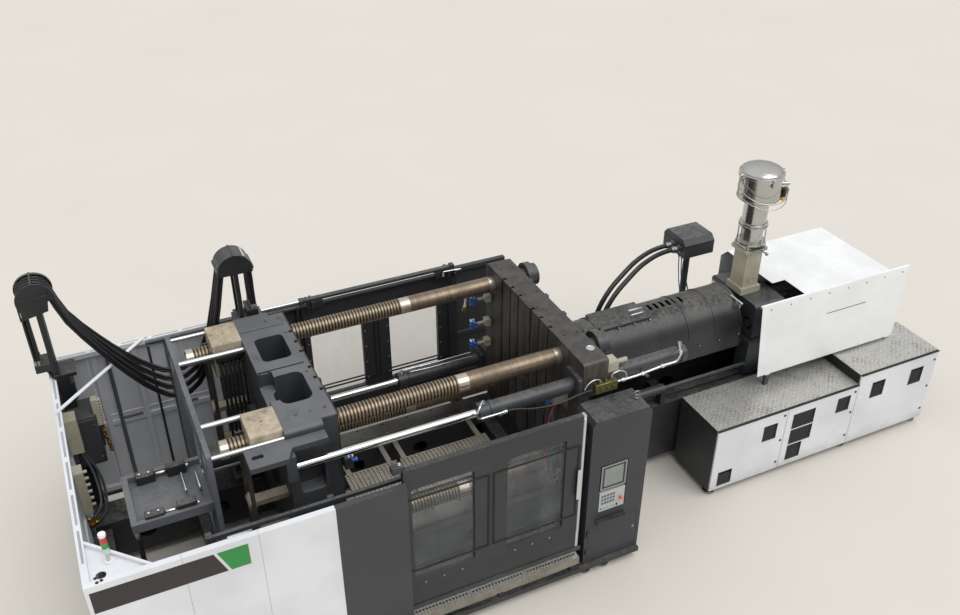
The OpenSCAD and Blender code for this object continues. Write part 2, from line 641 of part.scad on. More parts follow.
module moving_platen() color("#55585c") {
  top = centre_h + platen_h / 2;
  ear_y = platen_w / 2 + body_over;
  difference() {
    union() {
      plate_x([move_x - plate_t, move_x]) translate([0, centre_h]) round_rect(platen_w - 40, platen_h, 30);
      plate_x([move_back, move_x - plate_t]) translate([0, centre_h])
        round_rect(platen_w + 2 * body_over, platen_h, 50);
      both_sides() block([move_back + 20, move_x - 40], [beam_mid - 90, beam_mid + 90],
                         [rail_top + seat, centre_h - platen_h / 2 + 20]);
      // ear plate and lug of the traverse rod on the operator's side
      plate_z(ear_plate_z) polygon([
        [move_back - 400, -ear_y + 10], [move_x - plate_t, -ear_y + 10], [move_x - plate_t, -ear_y - 130],
        [move_back + 30, -ear_y - 130], [move_back - 40, -ear_y - 270], [move_back - 400, -ear_y - 270]]);
      block([move_back - 60, move_back + 40], [-traverse_y - 90, -ear_y + 10],
            [centre_h + traverse_z - 110, ear_plate_z[0]]);
      block([move_back - 60, move_back + 40], [-traverse_y - 90, -ear_y - 10],
            [ear_plate_z[0] - 1, ear_plate_z[0] + 1]);
      // lug of the far traverse rod
      block([move_back - 60, move_back + 60], [ear_y - 10, traverse_y + 90],
            [centre_h - traverse_z - 110, centre_h - traverse_z + 110]);
      // ear that carries the hose saddle
      block([move_back + 40, move_x - plate_t - 20], [ear_y - 60, saddle_moving[1] + 130], ear_plate_z);
      for (x = [move_back + 60, move_x - plate_t - 80])
        plate_x([x, x + 40]) polygon([[ear_y - 10, ear_plate_z[0] - 200], [ear_y - 10, ear_plate_z[0]],
          [saddle_moving[1] + 110, ear_plate_z[0]], [saddle_moving[1] + 110, ear_plate_z[0] - 40]]);
    }
    tslots(move_x, -1);
    tie_holes([move_back - 1, move_x + 1], tie_bore_d);
    // pockets of the casting, open at the top
    top_pocket([move_back + 110, move_x - 130], [110, 560], 60, 480);
    top_pocket([move_back + 100, move_x - 130], [-660, -170], 90, 600);
    top_pocket([move_back - 1, move_back + 140], [-560, -60], 30, 170);
    top_pocket([move_back - 1, move_x - 60], [735, 745], 4.9, 14);
    top_pocket([move_back - 1, move_x - 60], [-60, -40], 9.9, 20);
    // pockets at the bottom and in the far and near sides
    for (y = [[-520, -60], [60, 520]])
      plate_z([centre_h - platen_h / 2 - 1, centre_h - platen_h / 2 + 420])
        round_area([move_back + 110, move_x - 130], y, 60);
    both_sides() for (z = [-330, 330])
      plate_y([ear_y - 160, ear_y + 1]) round_area([move_back + 90, move_x - 200], [centre_h + z - 190, centre_h + z + 190], 50);
    // pocket of the ejector plate and the ejector's bores
    plate_x([move_back - 1, move_x - plate_t]) translate([0, centre_h]) round_rect(2 * pocket, 2 * pocket, 60);
    for (p = ejector_at) bar_x(ejector_rod_d + slip, [move_x - plate_t - 1, move_x + 1], p[0], centre_h + p[1]);
    plate_z([ear_plate_z[0] - 1, ear_plate_z[1] + 1])
      round_area([move_back - 350, move_back - 240], [-ear_y - 150, -ear_y - 100], 20);
  }
}

module tie_bar(y, z) translate([0, y, centre_h + z]) rotate([0, 90, 0])
  rotate_extrude() polygon([for (p = tie_profile(tie_end_x, fixed_back + 290, tie_d / 2)) [p[1], p[0]]]);

module tie_bars_upper() color("#8d7d68") for (y = [-tie_y, tie_y]) tie_bar(y, tie_z);

module tie_bars_lower() color("#8d7d68") for (y = [-tie_y, tie_y]) tie_bar(y, -tie_z);

module tie_bar_nuts() color("#2f3133")
  for (y = [-tie_y, tie_y], z = [-tie_z, tie_z]) {
    difference() {
      union() {
        bar_x(330, [fixed_back + 120 + seat, fixed_back + 200], y, centre_h + z);
        bar_x(270, [fixed_back + 200, fixed_back + 270], y, centre_h + z);
      }
      bar_x(tie_d + 1, [fixed_back + 100, fixed_back + 271], y, centre_h + z);
    }
    bolts_x(fixed_back + 200, y, centre_h + z, 300, 12, 24, 14);
  }

// Box that guides a pair of half nuts, with three arched ports on each side
module nut_housing(y, z) {
  cz = centre_h + z;
  difference() {
    plate_x(housing_x) translate([y, cz]) round_rect(2 * housing_half[0], 2 * housing_half[1], 24);
    block([housing_x[0] + end_plate, housing_x[1] - end_plate],
          [y - housing_half[0] + housing_wall, y + housing_half[0] - housing_wall],
          [cz - nut_od / 2 - slip, cz + nut_od / 2 + slip]);
    bar_x(tie_d + 2 * slip, [housing_x[0] - 1, housing_x[1] + 1], y, cz);
    // ports in both side walls
    for (i = [-1, 0, 1]) {
      px = nut_mid + i * 84;
      block([px - 24, px + 24], [y - housing_half[0] - 1, y + housing_half[0] + 1], [cz - 60, cz + 36]);
      bar_y(48, px, [y - housing_half[0] - 1, y + housing_half[0] + 1], cz + 36);
    }
    // slots for the lugs of the links
    for (s = [-1, 1])
      block([housing_x[0] - 1, housing_x[0] + end_plate + 1],
            [y + s * (link_y + nut_stroke / 2) - (link_w + nut_stroke) / 2 - slip,
             y + s * (link_y + nut_stroke / 2) + (link_w + nut_stroke) / 2 + slip], [cz - 32, cz + 32]);
    bar_z(22, nut_mid, y, [cz + housing_half[1] - 30, cz + housing_half[1] + 1]);
  }
}

module nut_housings() {
  color("#b8ab90") for (y = [-tie_y, tie_y], z = [-tie_z, tie_z]) nut_housing(y, z);
  // cylinder between the two links of each side, on a bracket from the platen
  color("#303234") for (y = [-tie_y, tie_y]) {
    xm = (link_x[0] + link_x[1]) / 2;
    difference() {
      union() {
        bar_y(86, xm, [y - 90, y + 90], centre_h);
        block([link_x[1] + 12, move_back - seat], [y - 60, y + 60], [centre_h - 30, centre_h + 30]);
      }
      bar_y(30 + slip, xm, [y - 91, y + 91], centre_h);
    }
  }
}

// Half nuts above and below on one side of a tie bar pair, with the link that joins them
module half_nuts(y, s) {
  off = s * nut_stroke;
  for (z = [-tie_z, tie_z]) translate([0, y + off, centre_h + z]) difference() {
    rotate([0, 90, 0]) rotate_extrude() polygon([for (p = nut_profile()) [p[1], p[0]]]);
    block([nut_x[0] - 1, nut_x[1] + 1], s > 0 ? [-nut_od, 3] : [-3, nut_od], [-nut_od, nut_od]);
  }
  ly = y + off + s * link_y;
  block(link_x, [ly - link_w / 2, ly + link_w / 2], [centre_h - tie_z - 30, centre_h + tie_z + 30]);
  for (z = [-tie_z, tie_z])
    block([link_x[1] - 1, nut_x[0] + 12], [ly - link_w / 2, ly + link_w / 2],
          [centre_h + z - 30, centre_h + z + 30]);
  bar_y(30, (link_x[0] + link_x[1]) / 2, s > 0 ? [ly - link_w / 2 - 100, ly] : [ly, ly + link_w / 2 + 100], centre_h);
}

// Profile of a half nut: teeth that fit the grooves of the tie bar
function nut_profile() =
  let (first = ceil((nut_x[0] - groove_x0) / groove_pitch), last = floor((nut_x[1] - groove_w - groove_x0) / groove_pitch))
  concat(
    [[nut_x[0], nut_od / 2], [nut_x[0], tie_d / 2 + tooth_gap]],
    [for (i = [first : last], k = [0 : 3])
      [groove_x0 + i * groove_pitch + groove_w / 2 + (k < 2 ? -tooth_w / 2 : tooth_w / 2),
       k == 0 || k == 3 ? tie_d / 2 + tooth_gap : nut_id / 2]],
    [[nut_x[1], tie_d / 2 + tooth_gap], [nut_x[1], nut_od / 2]]
  );

module half_nuts_front_outer() color("#7b776c") half_nuts(-tie_y, -1);
module half_nuts_front_inner() color("#7b776c") half_nuts(-tie_y, 1);
module half_nuts_rear_inner() color("#7b776c") half_nuts(tie_y, -1);
module half_nuts_rear_outer() color("#7b776c") half_nuts(tie_y, 1);

traverse_l = platen_stroke + 670;
gland_x = move_back + platen_stroke + 80;

// One traverse cylinder: tube, gland, end cap and the flange on the platen's ear
module traverse_barrel(y, z) {
  end_x = gland_x + traverse_l;
  difference() {
    union() {
      bar_x(traverse_d, [gland_x + 60, end_x], y, z);
      bar_x(traverse_d + 30, [gland_x, gland_x + 110], y, z);
      bar_x(traverse_d + 16, [gland_x + 130, gland_x + 170], y, z);
      bar_x(traverse_d + 20, [end_x - 60, end_x], y, z);
      plate_x([mould_x - 46, mould_x - seat]) translate([y, z]) round_rect(300, 300, 30);
    }
    bar_x(traverse_d - 46, [gland_x + 90, end_x - 60], y, z);
    bar_x(traverse_rod_d + slip, [gland_x - 1, gland_x + 91], y, z);
  }
}

module traverse_barrels() color("#26282a") {
  traverse_barrel(-traverse_y, centre_h + traverse_z);
  traverse_barrel(traverse_y, centre_h - traverse_z);
}

module traverse_rod(y, z) {
  bar_x(traverse_rod_d, [move_back + 40 + seat, gland_x + 150], y, z);
  bar_x(traverse_d - 46 - slip, [gland_x + 100, gland_x + 150], y, z);
}

module traverse_rods() color("#d8dadb") {
  traverse_rod(-traverse_y, centre_h + traverse_z);
  translate([20, 0, 0]) traverse_rod(traverse_y, centre_h - traverse_z);
}

yoke_x = [housing_x[0] - 420, housing_x[0] - 370];

// Frame behind the locking housings, hung from the platen by four bars
module rear_yoke() color("#5a5d62") {
  difference() {
    plate_x(yoke_x) difference() {
      translate([0, centre_h]) round_rect(2160, 1860, 60);
      translate([0, centre_h]) round_rect(1000, 1180, 80);
    }
    tie_holes([yoke_x[0] - 1, yoke_x[1] + 1], tie_d + 60);
  }
  for (y = [-560, 560], z = [-640, 860]) bar_x(56, [yoke_x[1], move_back - seat], y, centre_h + z);
  for (y = [-1045, 1045]) bar_x(44, [yoke_x[1], move_back - seat], y, centre_h + 860);
  // shelf that carries the core-pull valves
  block([yoke_x[0] - 760, yoke_x[0]], [-960, -220], [centre_h + 160, centre_h + 190]);
  for (y = [-960, -270]) block([yoke_x[0] - 760, yoke_x[0]], [y, y + 50], [centre_h + 190, centre_h + 260]);
  block([yoke_x[0] - 760, yoke_x[0] - 700], [-910, -270], [centre_h + 190, centre_h + 260]);
}

module ejector_cylinder() color("#2f3133") {
  difference() {
    union() {
      plate_x([move_back - 66, move_back - seat]) translate([0, centre_h]) round_rect(880, 460, 40);
      bar_x(300, [move_back - 140, move_back - 66], 0, centre_h);
      bar_x(240, [move_back - 620, move_back - 140], 0, centre_h);
      bar_x(290, [move_back - 680, move_back - 620], 0, centre_h);
    }
    bar_x(180, [move_back - 630, move_back - 130], 0, centre_h);
    bar_x(90 + slip, [move_back - 140, move_back + 1], 0, centre_h);
  }
  bolts_x(move_back - 80, 0, centre_h, 400, 8, 36, 14);
}

module ejector_plate() color("#8b8e90") {
  x = [move_back + 6, move_back + 56];
  difference() {
    plate_x(x) translate([0, centre_h]) round_rect(2 * pocket - 40, 2 * pocket - 40, 50);
    for (i = [-1, 1], j = [-1, 1]) bar_x(60, [x[0] - 1, x[1] + 1], i * 230, centre_h + j * 230);
  }
  for (p = ejector_at) bar_x(ejector_rod_d, [x[1], move_x - 6], p[0], centre_h + p[1]);
  bar_x(90, [move_back - 560, x[0]], 0, centre_h);
  bar_x(180 - slip, [move_back - 600, move_back - 540], 0, centre_h);
}

// Half drum that hoses lie on, with a bar along each edge
module saddle_drum(c, w, r) {
  translate([c[0], c[1] + w / 2, c[2]]) rotate([90, 0, 0]) {
    difference() {
      cylinder(h = w, r = r);
      translate([0, 0, -1]) cylinder(h = w + 2, r = r - 10);
      translate([-r - 1, -r - 1, -1]) cube([2 * r + 2, r + 1 - 40, w + 2]);
    }
    for (s = [0, w - 8]) translate([0, 0, s]) difference() {
      cylinder(h = 8, r = saddle_r);
      translate([-saddle_r - 1, -saddle_r - 1, -1]) cube([2 * saddle_r + 2, saddle_r - 39, 10]);
    }
    translate([0, saddle_r, -10]) cylinder(h = w + 20, d = 18);
  }
}

drum_r = saddle_r - 100;

module hose_posts() color("#242628") {
  c = saddle_fixed;
  saddle_drum(c, 260, drum_r);
  for (s = [-1, 1]) block([c[0] - 30, c[0] + 30], [c[1] + s * 90 - 25, c[1] + s * 90 + 25], [guard_h + 40, c[2] - 40]);
  block([c[0] - 30, c[0] + 30], [c[1] - 129, c[1] + 129], [c[2] - 41, c[2] - 20]);
  block([c[0] - 30, c[0] + 200], [c[1] - 140, c[1] + 140], [guard_h + seat, guard_h + 41]);
  // bulkhead that the hoses end in
  block([c[0] - hose_out, c[0] - 29], [c[1] - hose_side, c[1] + hose_side], [hose_foot - 90, hose_foot - seat]);
  block([wall_x + sheet_t + tube_w + 2, wall_x + 200], [c[1] - 140, c[1] + 140], [sill[1] + seat, guard_h + 1]);
}

module hose_saddle() color("#242628") {
  c = saddle_moving;
  z = ear_plate_z[1] + seat;
  saddle_drum(c, 260, drum_r);
  block([c[0] - 30, c[0] + 30], [c[1] - 129, c[1] + 129], [c[2] - 41, c[2] - 20]);
  for (s = [-1, 1])
    block([c[0] - 25, c[0] + 25], [c[1] + s * 105 - 12, c[1] + s * 105 + 12], [z + 29, c[2] - 40]);
  block([c[0] - 60, c[0] + 60], [c[1] - 130, c[1] + 130], [z, z + 30]);
  // manifold that the hoses end in
  block([c[0] + 64, c[0] + hose_out], [c[1] - hose_side, c[1] + hose_side], [z, z + manifold_h]);
}

// Sweep of an eight-sided tube along points
function unit(v) = v / norm(v);
function tangent(p, i) = unit(p[min(i + 1, len(p) - 1)] - p[max(i - 1, 0)]);
function ring(p, i, r, n) =
  let (t = tangent(p, i), b = [0, 1, 0], a = unit(cross(b, t)))
  [for (k = [0 : n - 1]) p[i] + r * cos(360 * k / n) * a + r * sin(360 * k / n) * unit(cross(t, a))];

module tube(p, d, n = 8) {
  m = len(p);
  points = [for (i = [0 : m - 1]) each ring(p, i, d / 2, n)];
  sides = [for (i = [0 : m - 2], k = [0 : n - 1])
    [i * n + k, i * n + (k + 1) % n, (i + 1) * n + (k + 1) % n, (i + 1) * n + k]];
  ends = [[for (k = [0 : n - 1]) n - 1 - k], [for (k = [0 : n - 1]) (m - 1) * n + k]];
  polyhedron(points, concat(sides, ends), convexity = 10);
}

// Middle line of the hoses over both saddles, as along-and-up pairs
hose_r = drum_r + hose_d / 2 + 18;
hose_out = hose_r + hose_gap + hose_d / 2 + 8;
hose_foot = guard_h + 200;
hose_low = 1850;
hose_line = let (a = saddle_fixed, b = saddle_moving, w = b[0] - a[0] - 2 * hose_r, x0 = a[0] + hose_r) concat(
  [[a[0] - hose_r, hose_foot]],
  [for (t = [180 : -60 : 0]) [a[0] + hose_r * cos(t), a[2] + hose_r * sin(t)]],
  [for (p = [0.22, 0.78]) [x0 + p * w, hose_low]],
  [for (t = [180 : -60 : 0]) [b[0] + hose_r * cos(t), b[2] + hose_r * sin(t)]],
  [[b[0] + hose_r, ear_plate_z[1] + manifold_h + 2 * seat]]
);

// Points of hose number i: four side by side in two layers, lifted along the line's normal
function hose_points(i) =
  let (row = floor(i / hose_w), col = i % hose_w - (hose_w - 1) / 2, m = len(hose_line) - 1)
  [for (k = [0 : m])
    let (p = hose_line[k], t = unit(hose_line[min(k + 1, m)] - hose_line[max(k - 1, 0)]),
         f = max(0, min(1, (p[0] - saddle_fixed[0] - hose_r) / (saddle_moving[0] - saddle_fixed[0] - 2 * hose_r))))
    [p[0] - row * hose_gap * t[1],
     saddle_fixed[1] + (saddle_moving[1] - saddle_fixed[1]) * f + col * hose_pitch,
     k == 0 || k == m ? p[1] : p[1] + row * hose_gap * t[0] - sin(180 * f) * hose_sag[i % hose_w]]];

module clamp_hoses() color("#1c1d1e") for (i = [0 : 2 * hose_w - 1]) tube(hose_points(i), hose_d);

module stack_light() {
  x = wall_x + 240;
  y = -guard_y + 290;
  z = guard_h - tube_w + 8 + seat;
  color("#e8e8e6") bar_z(90, x, y, [z, z + 16]);
  color("#c8c8c6") bar_z(36, x, y, [z + 16, z + 110]);
  color("#d8e8d8") bar_z(60, x, y, [z + 110, z + 170]);
  color("#2fa043") bar_z(60, x, y, [z + 170, z + 230]);
  color("#cf2a20") bar_z(60, x, y, [z + 230, z + 300]);
  color("#f0f0ee") bar_z(66, x, y, [z + 300, z + 330]);
}

module valve_blocks() color("#8c8266") {
  // terminal box and manifold on the end wall
  bx = wall_x + sheet_t + 30 + seat;
  block([bx, bx + 130], [900, 1080], [1500, 1950]);
  block([bx, bx + 90], [190, 340], [1250, 1800]);
  for (i = [0 : 5]) bar_x(34, [bx + 90, bx + 130], 265, 1300 + i * 90);
  // directional valve beside the fixed platen
  vx = fixed_back + seat;
  block([vx, vx + 160], [-platen_w / 2 - 280, -platen_w / 2 - 140], [2400, 2520]);
  bar_x(52, [vx + 160, vx + 300], -platen_w / 2 - 210, 2460);
  // cooling water couplings on the fixed platen's mould side
  for (z = [1500, 1800, 2150]) {
    block([mould_x - 70, mould_x - seat], [platen_w / 2 - 150, platen_w / 2 - 60], [z, z + 90]);
    bar_x(40, [mould_x - 170, mould_x - 70], platen_w / 2 - 105, z + 45);
  }
}

module lock_manifold() color("#1f2123") {
  x = [yoke_x[0] - 700, yoke_x[0] - 120];
  block(x, [-1200, -700], [beam_top + seat, beam_top + 60]);
  block([x[0] + 60, x[0] + 360], [-1150, -800], [beam_top + 60, beam_top + 420]);
  for (i = [0 : 2]) bar_y(80, x[0] + 120 + i * 90, [-1240, -1150], beam_top + 300);
  bar_x(260, [x[0] + 360, x[1] - 20], -960, beam_top + 220);
  bar_z(70, x[0] + 140, -960, [beam_top + 420, beam_top + 520]);
  bar_z(70, x[0] + 280, -960, [beam_top + 420, beam_top + 480]);
}

module carriage() color("#26282a") {
  difference() {
    union() {
      plate_x(carriage_x) translate([0, centre_h]) round_rect(900, 620, 60);
      both_sides() block([carriage_x[0] - 60, carriage_x[1] + 80], [rail_y - 110, rail_y + 110],
                         [carriage_foot, centre_h - 200]);
      // rear bearing plate
      plate_x([cross_head_x[1] + 500, cross_head_x[1] + 600]) translate([0, centre_h]) round_rect(900, 560, 60);
      both_sides() block([carriage_x[1] + 80, cross_head_x[1] + 620], [rail_y - 90, rail_y + 90],
                         [carriage_foot, carriage_foot + 120]);
      both_sides() block([cross_head_x[1] + 480, cross_head_x[1] + 620], [rail_y - 90, rail_y + 90],
                         [carriage_foot + 120, centre_h - 200]);
    }
    bar_x(barrel_d, [carriage_x[0] - 1, barrel_x[1]], 0, centre_h);
    bar_x(screw_d + 30, [barrel_x[1] - 1, carriage_x[1] + 1], 0, centre_h);
    bar_z(throat_d, throat_x, 0, [centre_h, throat_z[0] + 200]);
    both_sides() bar_x(180, [carriage_x[0] - 1, carriage_x[1] + 1], 330, centre_h);
    both_sides() bar_x(100, [cross_head_x[1] + 499, cross_head_x[1] + 601], 330, centre_h);
    bar_x(240, [cross_head_x[1] + 499, cross_head_x[1] + 601], 0, centre_h);
  }
  // guide bars of the screw drive
  both_sides() bar_x(100 - slip, [carriage_x[0] + 2, cross_head_x[1] + 598], 330, centre_h);
  // rods and pistons of the carriage cylinders
  both_sides() {
    bar_x(50, [guard_x[0] + 380, carriage_x[0] - 50], rail_y + 90, inj_top + 210);
    bar_x(84 - slip, [guard_x[0] + 370, guard_x[0] + 420], rail_y + 90, inj_top + 210);
  }
}

module barrel() color("#6f7173") {
  difference() {
    union() {
      bar_x(barrel_d - 2 * seat, barrel_x, 0, centre_h);
      bar_x(barrel_d - 50, [nozzle_x + 110, barrel_x[0]], 0, centre_h);
      translate([nozzle_x, 0, centre_h]) rotate([0, 90, 0]) cylinder(h = 110, d1 = 50, d2 = 130);
      for (i = [0 : 4]) bar_x(barrel_d + 24, [barrel_x[0] + 60 + i * 430, barrel_x[0] + 420 + i * 430], 0, centre_h);
    }
    bar_x(screw_d + 0.1, [nozzle_x + 170, barrel_x[1] + 1], 0, centre_h);
    translate([nozzle_x + 130, 0, centre_h]) rotate([0, 90, 0]) cylinder(h = 41, d1 = 8, d2 = screw_d + 0.1);
    bar_x(8, [nozzle_x - 1, nozzle_x + 131], 0, centre_h);
    bar_z(throat_d, throat_x, 0, [centre_h, centre_h + barrel_d]);
  }
}

// Screw: a tapered tip, a core and flights as collars along it
module screw() color("#9fa2a4") translate([nozzle_x + 172, 0, centre_h]) rotate([0, 90, 0])
  rotate_extrude() polygon(concat(
    [[0, 4], [screw_d / 2 - 14, 60], [screw_d / 2 - 14, 90], [screw_d / 2, 92], [screw_d / 2, 120],
     [screw_d / 2 - 16, 122]],
    [for (i = [0 : 17], k = [0 : 3])
      [k == 1 || k == 2 ? screw_d / 2 : screw_d / 2 - 16 + i * 0.4, 150 + i * screw_d + [0, 2, 14, 16][k]]],
    [[screw_d / 2 - 8, 18 * screw_d + 160], [screw_d / 2, 18 * screw_d + 170],
     [screw_d / 2, cross_head_x[0] - nozzle_x - 172 - seat], [0, cross_head_x[0] - nozzle_x - 172 - seat]]));

module injection_crosshead() color("#303338") {
  difference() {
    plate_x(cross_head_x) translate([0, centre_h]) round_rect(860, 420, 60);
    both_sides() bar_x(100, [cross_head_x[0] - 1, cross_head_x[1] + 1], 330, centre_h);
  }
  bar_x(220, [cross_head_x[1], cross_head_x[1] + 940], 0, centre_h);
  bar_x(320, [cross_head_x[1] + 640, cross_head_x[1] + 900], 0, centre_h);
}

// Arched cover over the heated barrel, open below
module barrel_guard() color("#1f2022") {
  difference() {
    union() {
      bar_x(2 * guard_r, guard_x, 0, centre_h);
      block(guard_x, [-guard_r, guard_r], [centre_h - 260, centre_h]);
      block([guard_x[0] + 620, guard_x[0] + 640], [-guard_r - 12, guard_r + 12], [centre_h - 260, centre_h]);
    }
    bar_x(2 * guard_r - 8, [guard_x[0] + 4, guard_x[1] + 1], 0, centre_h);
    block([guard_x[0] + 4, guard_x[1] + 1], [-guard_r + 4, guard_r - 4], [centre_h - 600, centre_h]);
    block([guard_x[0] - 1, guard_x[1] + 1], [-guard_r - 20, guard_r + 20], [centre_h - 600, centre_h - 260]);
    bar_x(300, [guard_x[0] - 1, guard_x[0] + 20], 0, centre_h);
    for (i = [0 : 11]) block([guard_x[0] + 760 + i * 90, guard_x[0] + 800 + i * 90],
      [-60, 60], [centre_h + guard_r - 30, centre_h + guard_r + 1]);
  }
  // straps to the carriage
  both_sides() block([guard_x[1] - 2, carriage_x[0] - 60 - seat], [guard_r - 60, guard_r - 4],
                     [centre_h - 260, centre_h - 200]);
}

module carriage_cylinders() color("#2a2c2e") both_sides() {
  y = rail_y + 90;
  z = inj_top + 210;
  x = [guard_x[0] + 320, guard_x[0] + 320 + carriage_stroke + 550];
  difference() {
    union() {
      bar_x(120, x, y, z);
      block([x[0] - 20, x[0] + 40], [rail_y + 42, y + 60], [inj_top + seat, z + 70]);
      block([x[1] - 60, x[1]], [rail_y + 42, y + 50], [inj_top + seat, z]);
    }
    bar_x(84, [x[0] + 20, x[1] - 60], y, z);
    bar_x(51, [x[1] - 61, x[1] + 1], y, z);
  }
}

module junction_box() color("#26282b") {
  x = [throat_x - 320, throat_x + 150];
  y = [840, 1330];
  plate_x(x) polygon([[y[0], 2060], [y[1], 2060], [y[1], 2250], [y[1] - 60, 2320], [y[0] + 70, 2320],
                      [y[0], 2250]]);
  bar_z(90, (x[0] + x[1]) / 2, 1080, [cab_top + 40, 2060]);
  block([x[0] + 120, x[1] - 120], [960, 1200], [cab_top + deck_t + 2 * seat, cab_top + 40]);
  for (k = [0, 1]) bar_x(84, [x[0] - 60, x[0]], conduit_start[1] + k * conduit_gap, conduit_start[2]);
}

// Stiff conduits from the junction box to a bracket on the injection bed
conduit_route = [
  [0, 0, 0], [-160, 0, 0], [-380, -50, 0], [-640, -130, -40], [-900, -230, -130], [-1120, -300, -260],
  [-1290, -345, -470], [-1380, -365, -760], [-1400, -370, -1060], [-1400, -370, -1290]
];

module conduits() color("#1b1c1d")
  for (k = [0, 1]) tube([for (p = conduit_route) conduit_start + [0, k * conduit_gap, 0] + p], conduit_d);

module drive_hood() color("#f0f1f2") {
  difference() {
    union() {
      plate_x(hood_x) polygon([[-hood_y, hood_z[0]], [-hood_y, hood_z[1] - 60], [-hood_y + 60, hood_z[1]],
        [hood_y - 120, hood_z[1]], [hood_y, hood_z[1] - 120], [hood_y, hood_z[0]]]);
    }
    plate_x([hood_x[0] - 1, hood_x[1] - 6]) polygon([[-hood_y + 6, hood_z[0] - 1], [-hood_y + 6, hood_z[1] - 64],
      [-hood_y + 62, hood_z[1] - 6], [hood_y - 122, hood_z[1] - 6], [hood_y - 6, hood_z[1] - 124],
      [hood_y - 6, hood_z[0] - 1]]);
    block([hood_x[0] - 1, hood_x[0] + 200], [-hood_y - 1, -260], [hood_z[1] - 460, hood_z[1] + 1]);
    bar_x(380, [hood_x[1] - 10, hood_x[1] + 1], 0, centre_h);
  }
  // arms that rest on the carriage's side bars
  both_sides() for (x = [hood_x[0] + 300, hood_x[0] + 1000]) {
    block([x, x + 80], [rail_y + 40, rail_y + 80], [carriage_foot + 120 + seat, hood_z[0] + 40]);
    block([x, x + 80], [rail_y + 40, hood_y - 5], [hood_z[0] + 10, hood_z[0] + 40]);
  }
}

module side_guard() color("#eceded") {
  x = [throat_x - 400, throat_x + 1950];
  plate_y([side_y - 5, side_y]) polygon([
    [x[0] + 120, cab_top + 180], [x[1], cab_top + 180], [x[1], 2290], [x[0], 2290]]);
  plate_y([side_y, side_y + 30]) polygon([[x[0] + 3, 2260], [x[1], 2260], [x[1], 2290], [x[0], 2290]]);
  block([x[0] + 260, x[0] + 320], [side_y - 1, side_y + 40], [cab_top + deck_t + seat, 2261]);
  block([x[1] - 120, x[1] - 60], [side_y - 1, side_y + 40], [cab_top_high + deck_t + seat, 2261]);
}

module feed_throat() color("#a9a48f") {
  difference() {
    union() {
      block([throat_x - 120, throat_x + 120], [-120, 120], [throat_z[0] + seat, throat_z[1] - 40]);
      block([throat_x - 150, throat_x + 150], [-150, 150], [throat_z[0] + seat, throat_z[0] + 90]);
      plate_z([throat_z[1] - 40, throat_z[1]]) translate([throat_x, 0]) round_rect(340, 300, 20);
    }
    bar_z(throat_d, throat_x, 0, [throat_z[0], throat_z[1] + 1]);
    bar_y(80, throat_x, [-121, -60], throat_z[0] + 190);
  }
}

module slide_gate() color("#b7babd") {
  block([throat_x - 100, throat_x + 100], [-210, 118], [gate_z + 24, gate_z + 36]);
  bar_y(18, throat_x, [-300, -210], gate_z + 30);
  translate([throat_x, -320, gate_z + 30]) sphere(d = 44);
}

module hopper_loader() {
  r_sight = 150;
  neck_r = 150;
  color("#c3c6c8") {
    // gate housing with a slot for the slide
    difference() {
      plate_z([gate_z + seat, gate_z + gate_h]) translate([throat_x, 0]) round_rect(300, 260, 20);
      block([throat_x - 100.4, throat_x + 100.4], [-131, 120], [gate_z + 23.7, gate_z + 36.4]);
      bar_z(throat_d, throat_x, 0, [gate_z - 1, gate_z + gate_h + 1]);
    }
    // flanges and clamp rods of the sight glass
    for (z = [sight_z[0], sight_z[1] - 24]) difference() {
      bar_z(2 * r_sight + 60, throat_x, 0, [z, z + 24]);
      bar_z(2 * r_sight - 60, throat_x, 0, [z - 1, z + 25]);
    }
    for (a = [45 : 90 : 315])
      bar_z(16, throat_x + (r_sight + 14) * cos(a), (r_sight + 14) * sin(a), [sight_z[0] + 24, sight_z[1] - 24]);
  }
  color([0.75, 0.8, 0.78, 0.4]) difference() {
    bar_z(2 * r_sight - 30, throat_x, 0, [sight_z[0] + 24, sight_z[1] - 24]);
    bar_z(2 * r_sight - 50, throat_x, 0, [sight_z[0] + 23, sight_z[1] - 23]);
  }
  color("#cfd2d4") translate([throat_x, 0, 0]) rotate_extrude() polygon([
    [neck_r - 16, neck_z[0]], [r_sight + 14, neck_z[0]], [r_sight + 14, neck_z[0] + 18], [neck_r, neck_z[0] + 18],
    [neck_r, neck_z[1] - 30], [vessel_d / 2, neck_z[1] + 30], [vessel_d / 2, vessel_z[1]],
    [vessel_d / 2 + 16, vessel_z[1]], [vessel_d / 2 + 16, vessel_z[1] + 14], [vessel_d / 2 - 6, vessel_z[1] + 14],
    [vessel_d / 2 - 6, neck_z[1] + 34], [neck_r - 6, neck_z[1] - 26], [neck_r - 6, neck_z[0] + 18],
    [neck_r - 16, neck_z[0] + 12]]);
  // inlet stubs of the conveying lines
  color("#c3c6c8") for (a = [-20, 15])
    rotate_about(throat_x, a) {
      bar_x(66, [vessel_d / 2 - 5, vessel_d / 2 + 10], 0, vessel_z[0] + 190);
      bar_x(48, [vessel_d / 2 + 9, vessel_d / 2 + 110], 0, vessel_z[0] + 190);
    }
}

module rotate_about(x, a) translate([x, 0, 0]) rotate([0, 0, a]) children();

module loader_lid() color("#d5d8da") translate([throat_x, 0, vessel_z[1] + 14 + seat]) {
  rotate_extrude() polygon(concat(
    [[0, lid_h - 6], [0, lid_h]],
    [for (a = [84 : -12 : 0]) [(vessel_d / 2 + 4) * cos(a), 24 + (lid_h - 24) * sin(a)]],
    [[vessel_d / 2 + 16, 20], [vessel_d / 2 + 16, 0], [vessel_d / 2 - 6, 0], [vessel_d / 2 - 6, 20]],
    [for (a = [0 : 12 : 84]) [(vessel_d / 2 - 6) * cos(a), 20 + (lid_h - 26) * sin(a)]]));
  for (s = [-1, 1]) translate([-vessel_d / 2 - 40, s * 30 - 8, 0]) cube([50, 16, 26]);
}

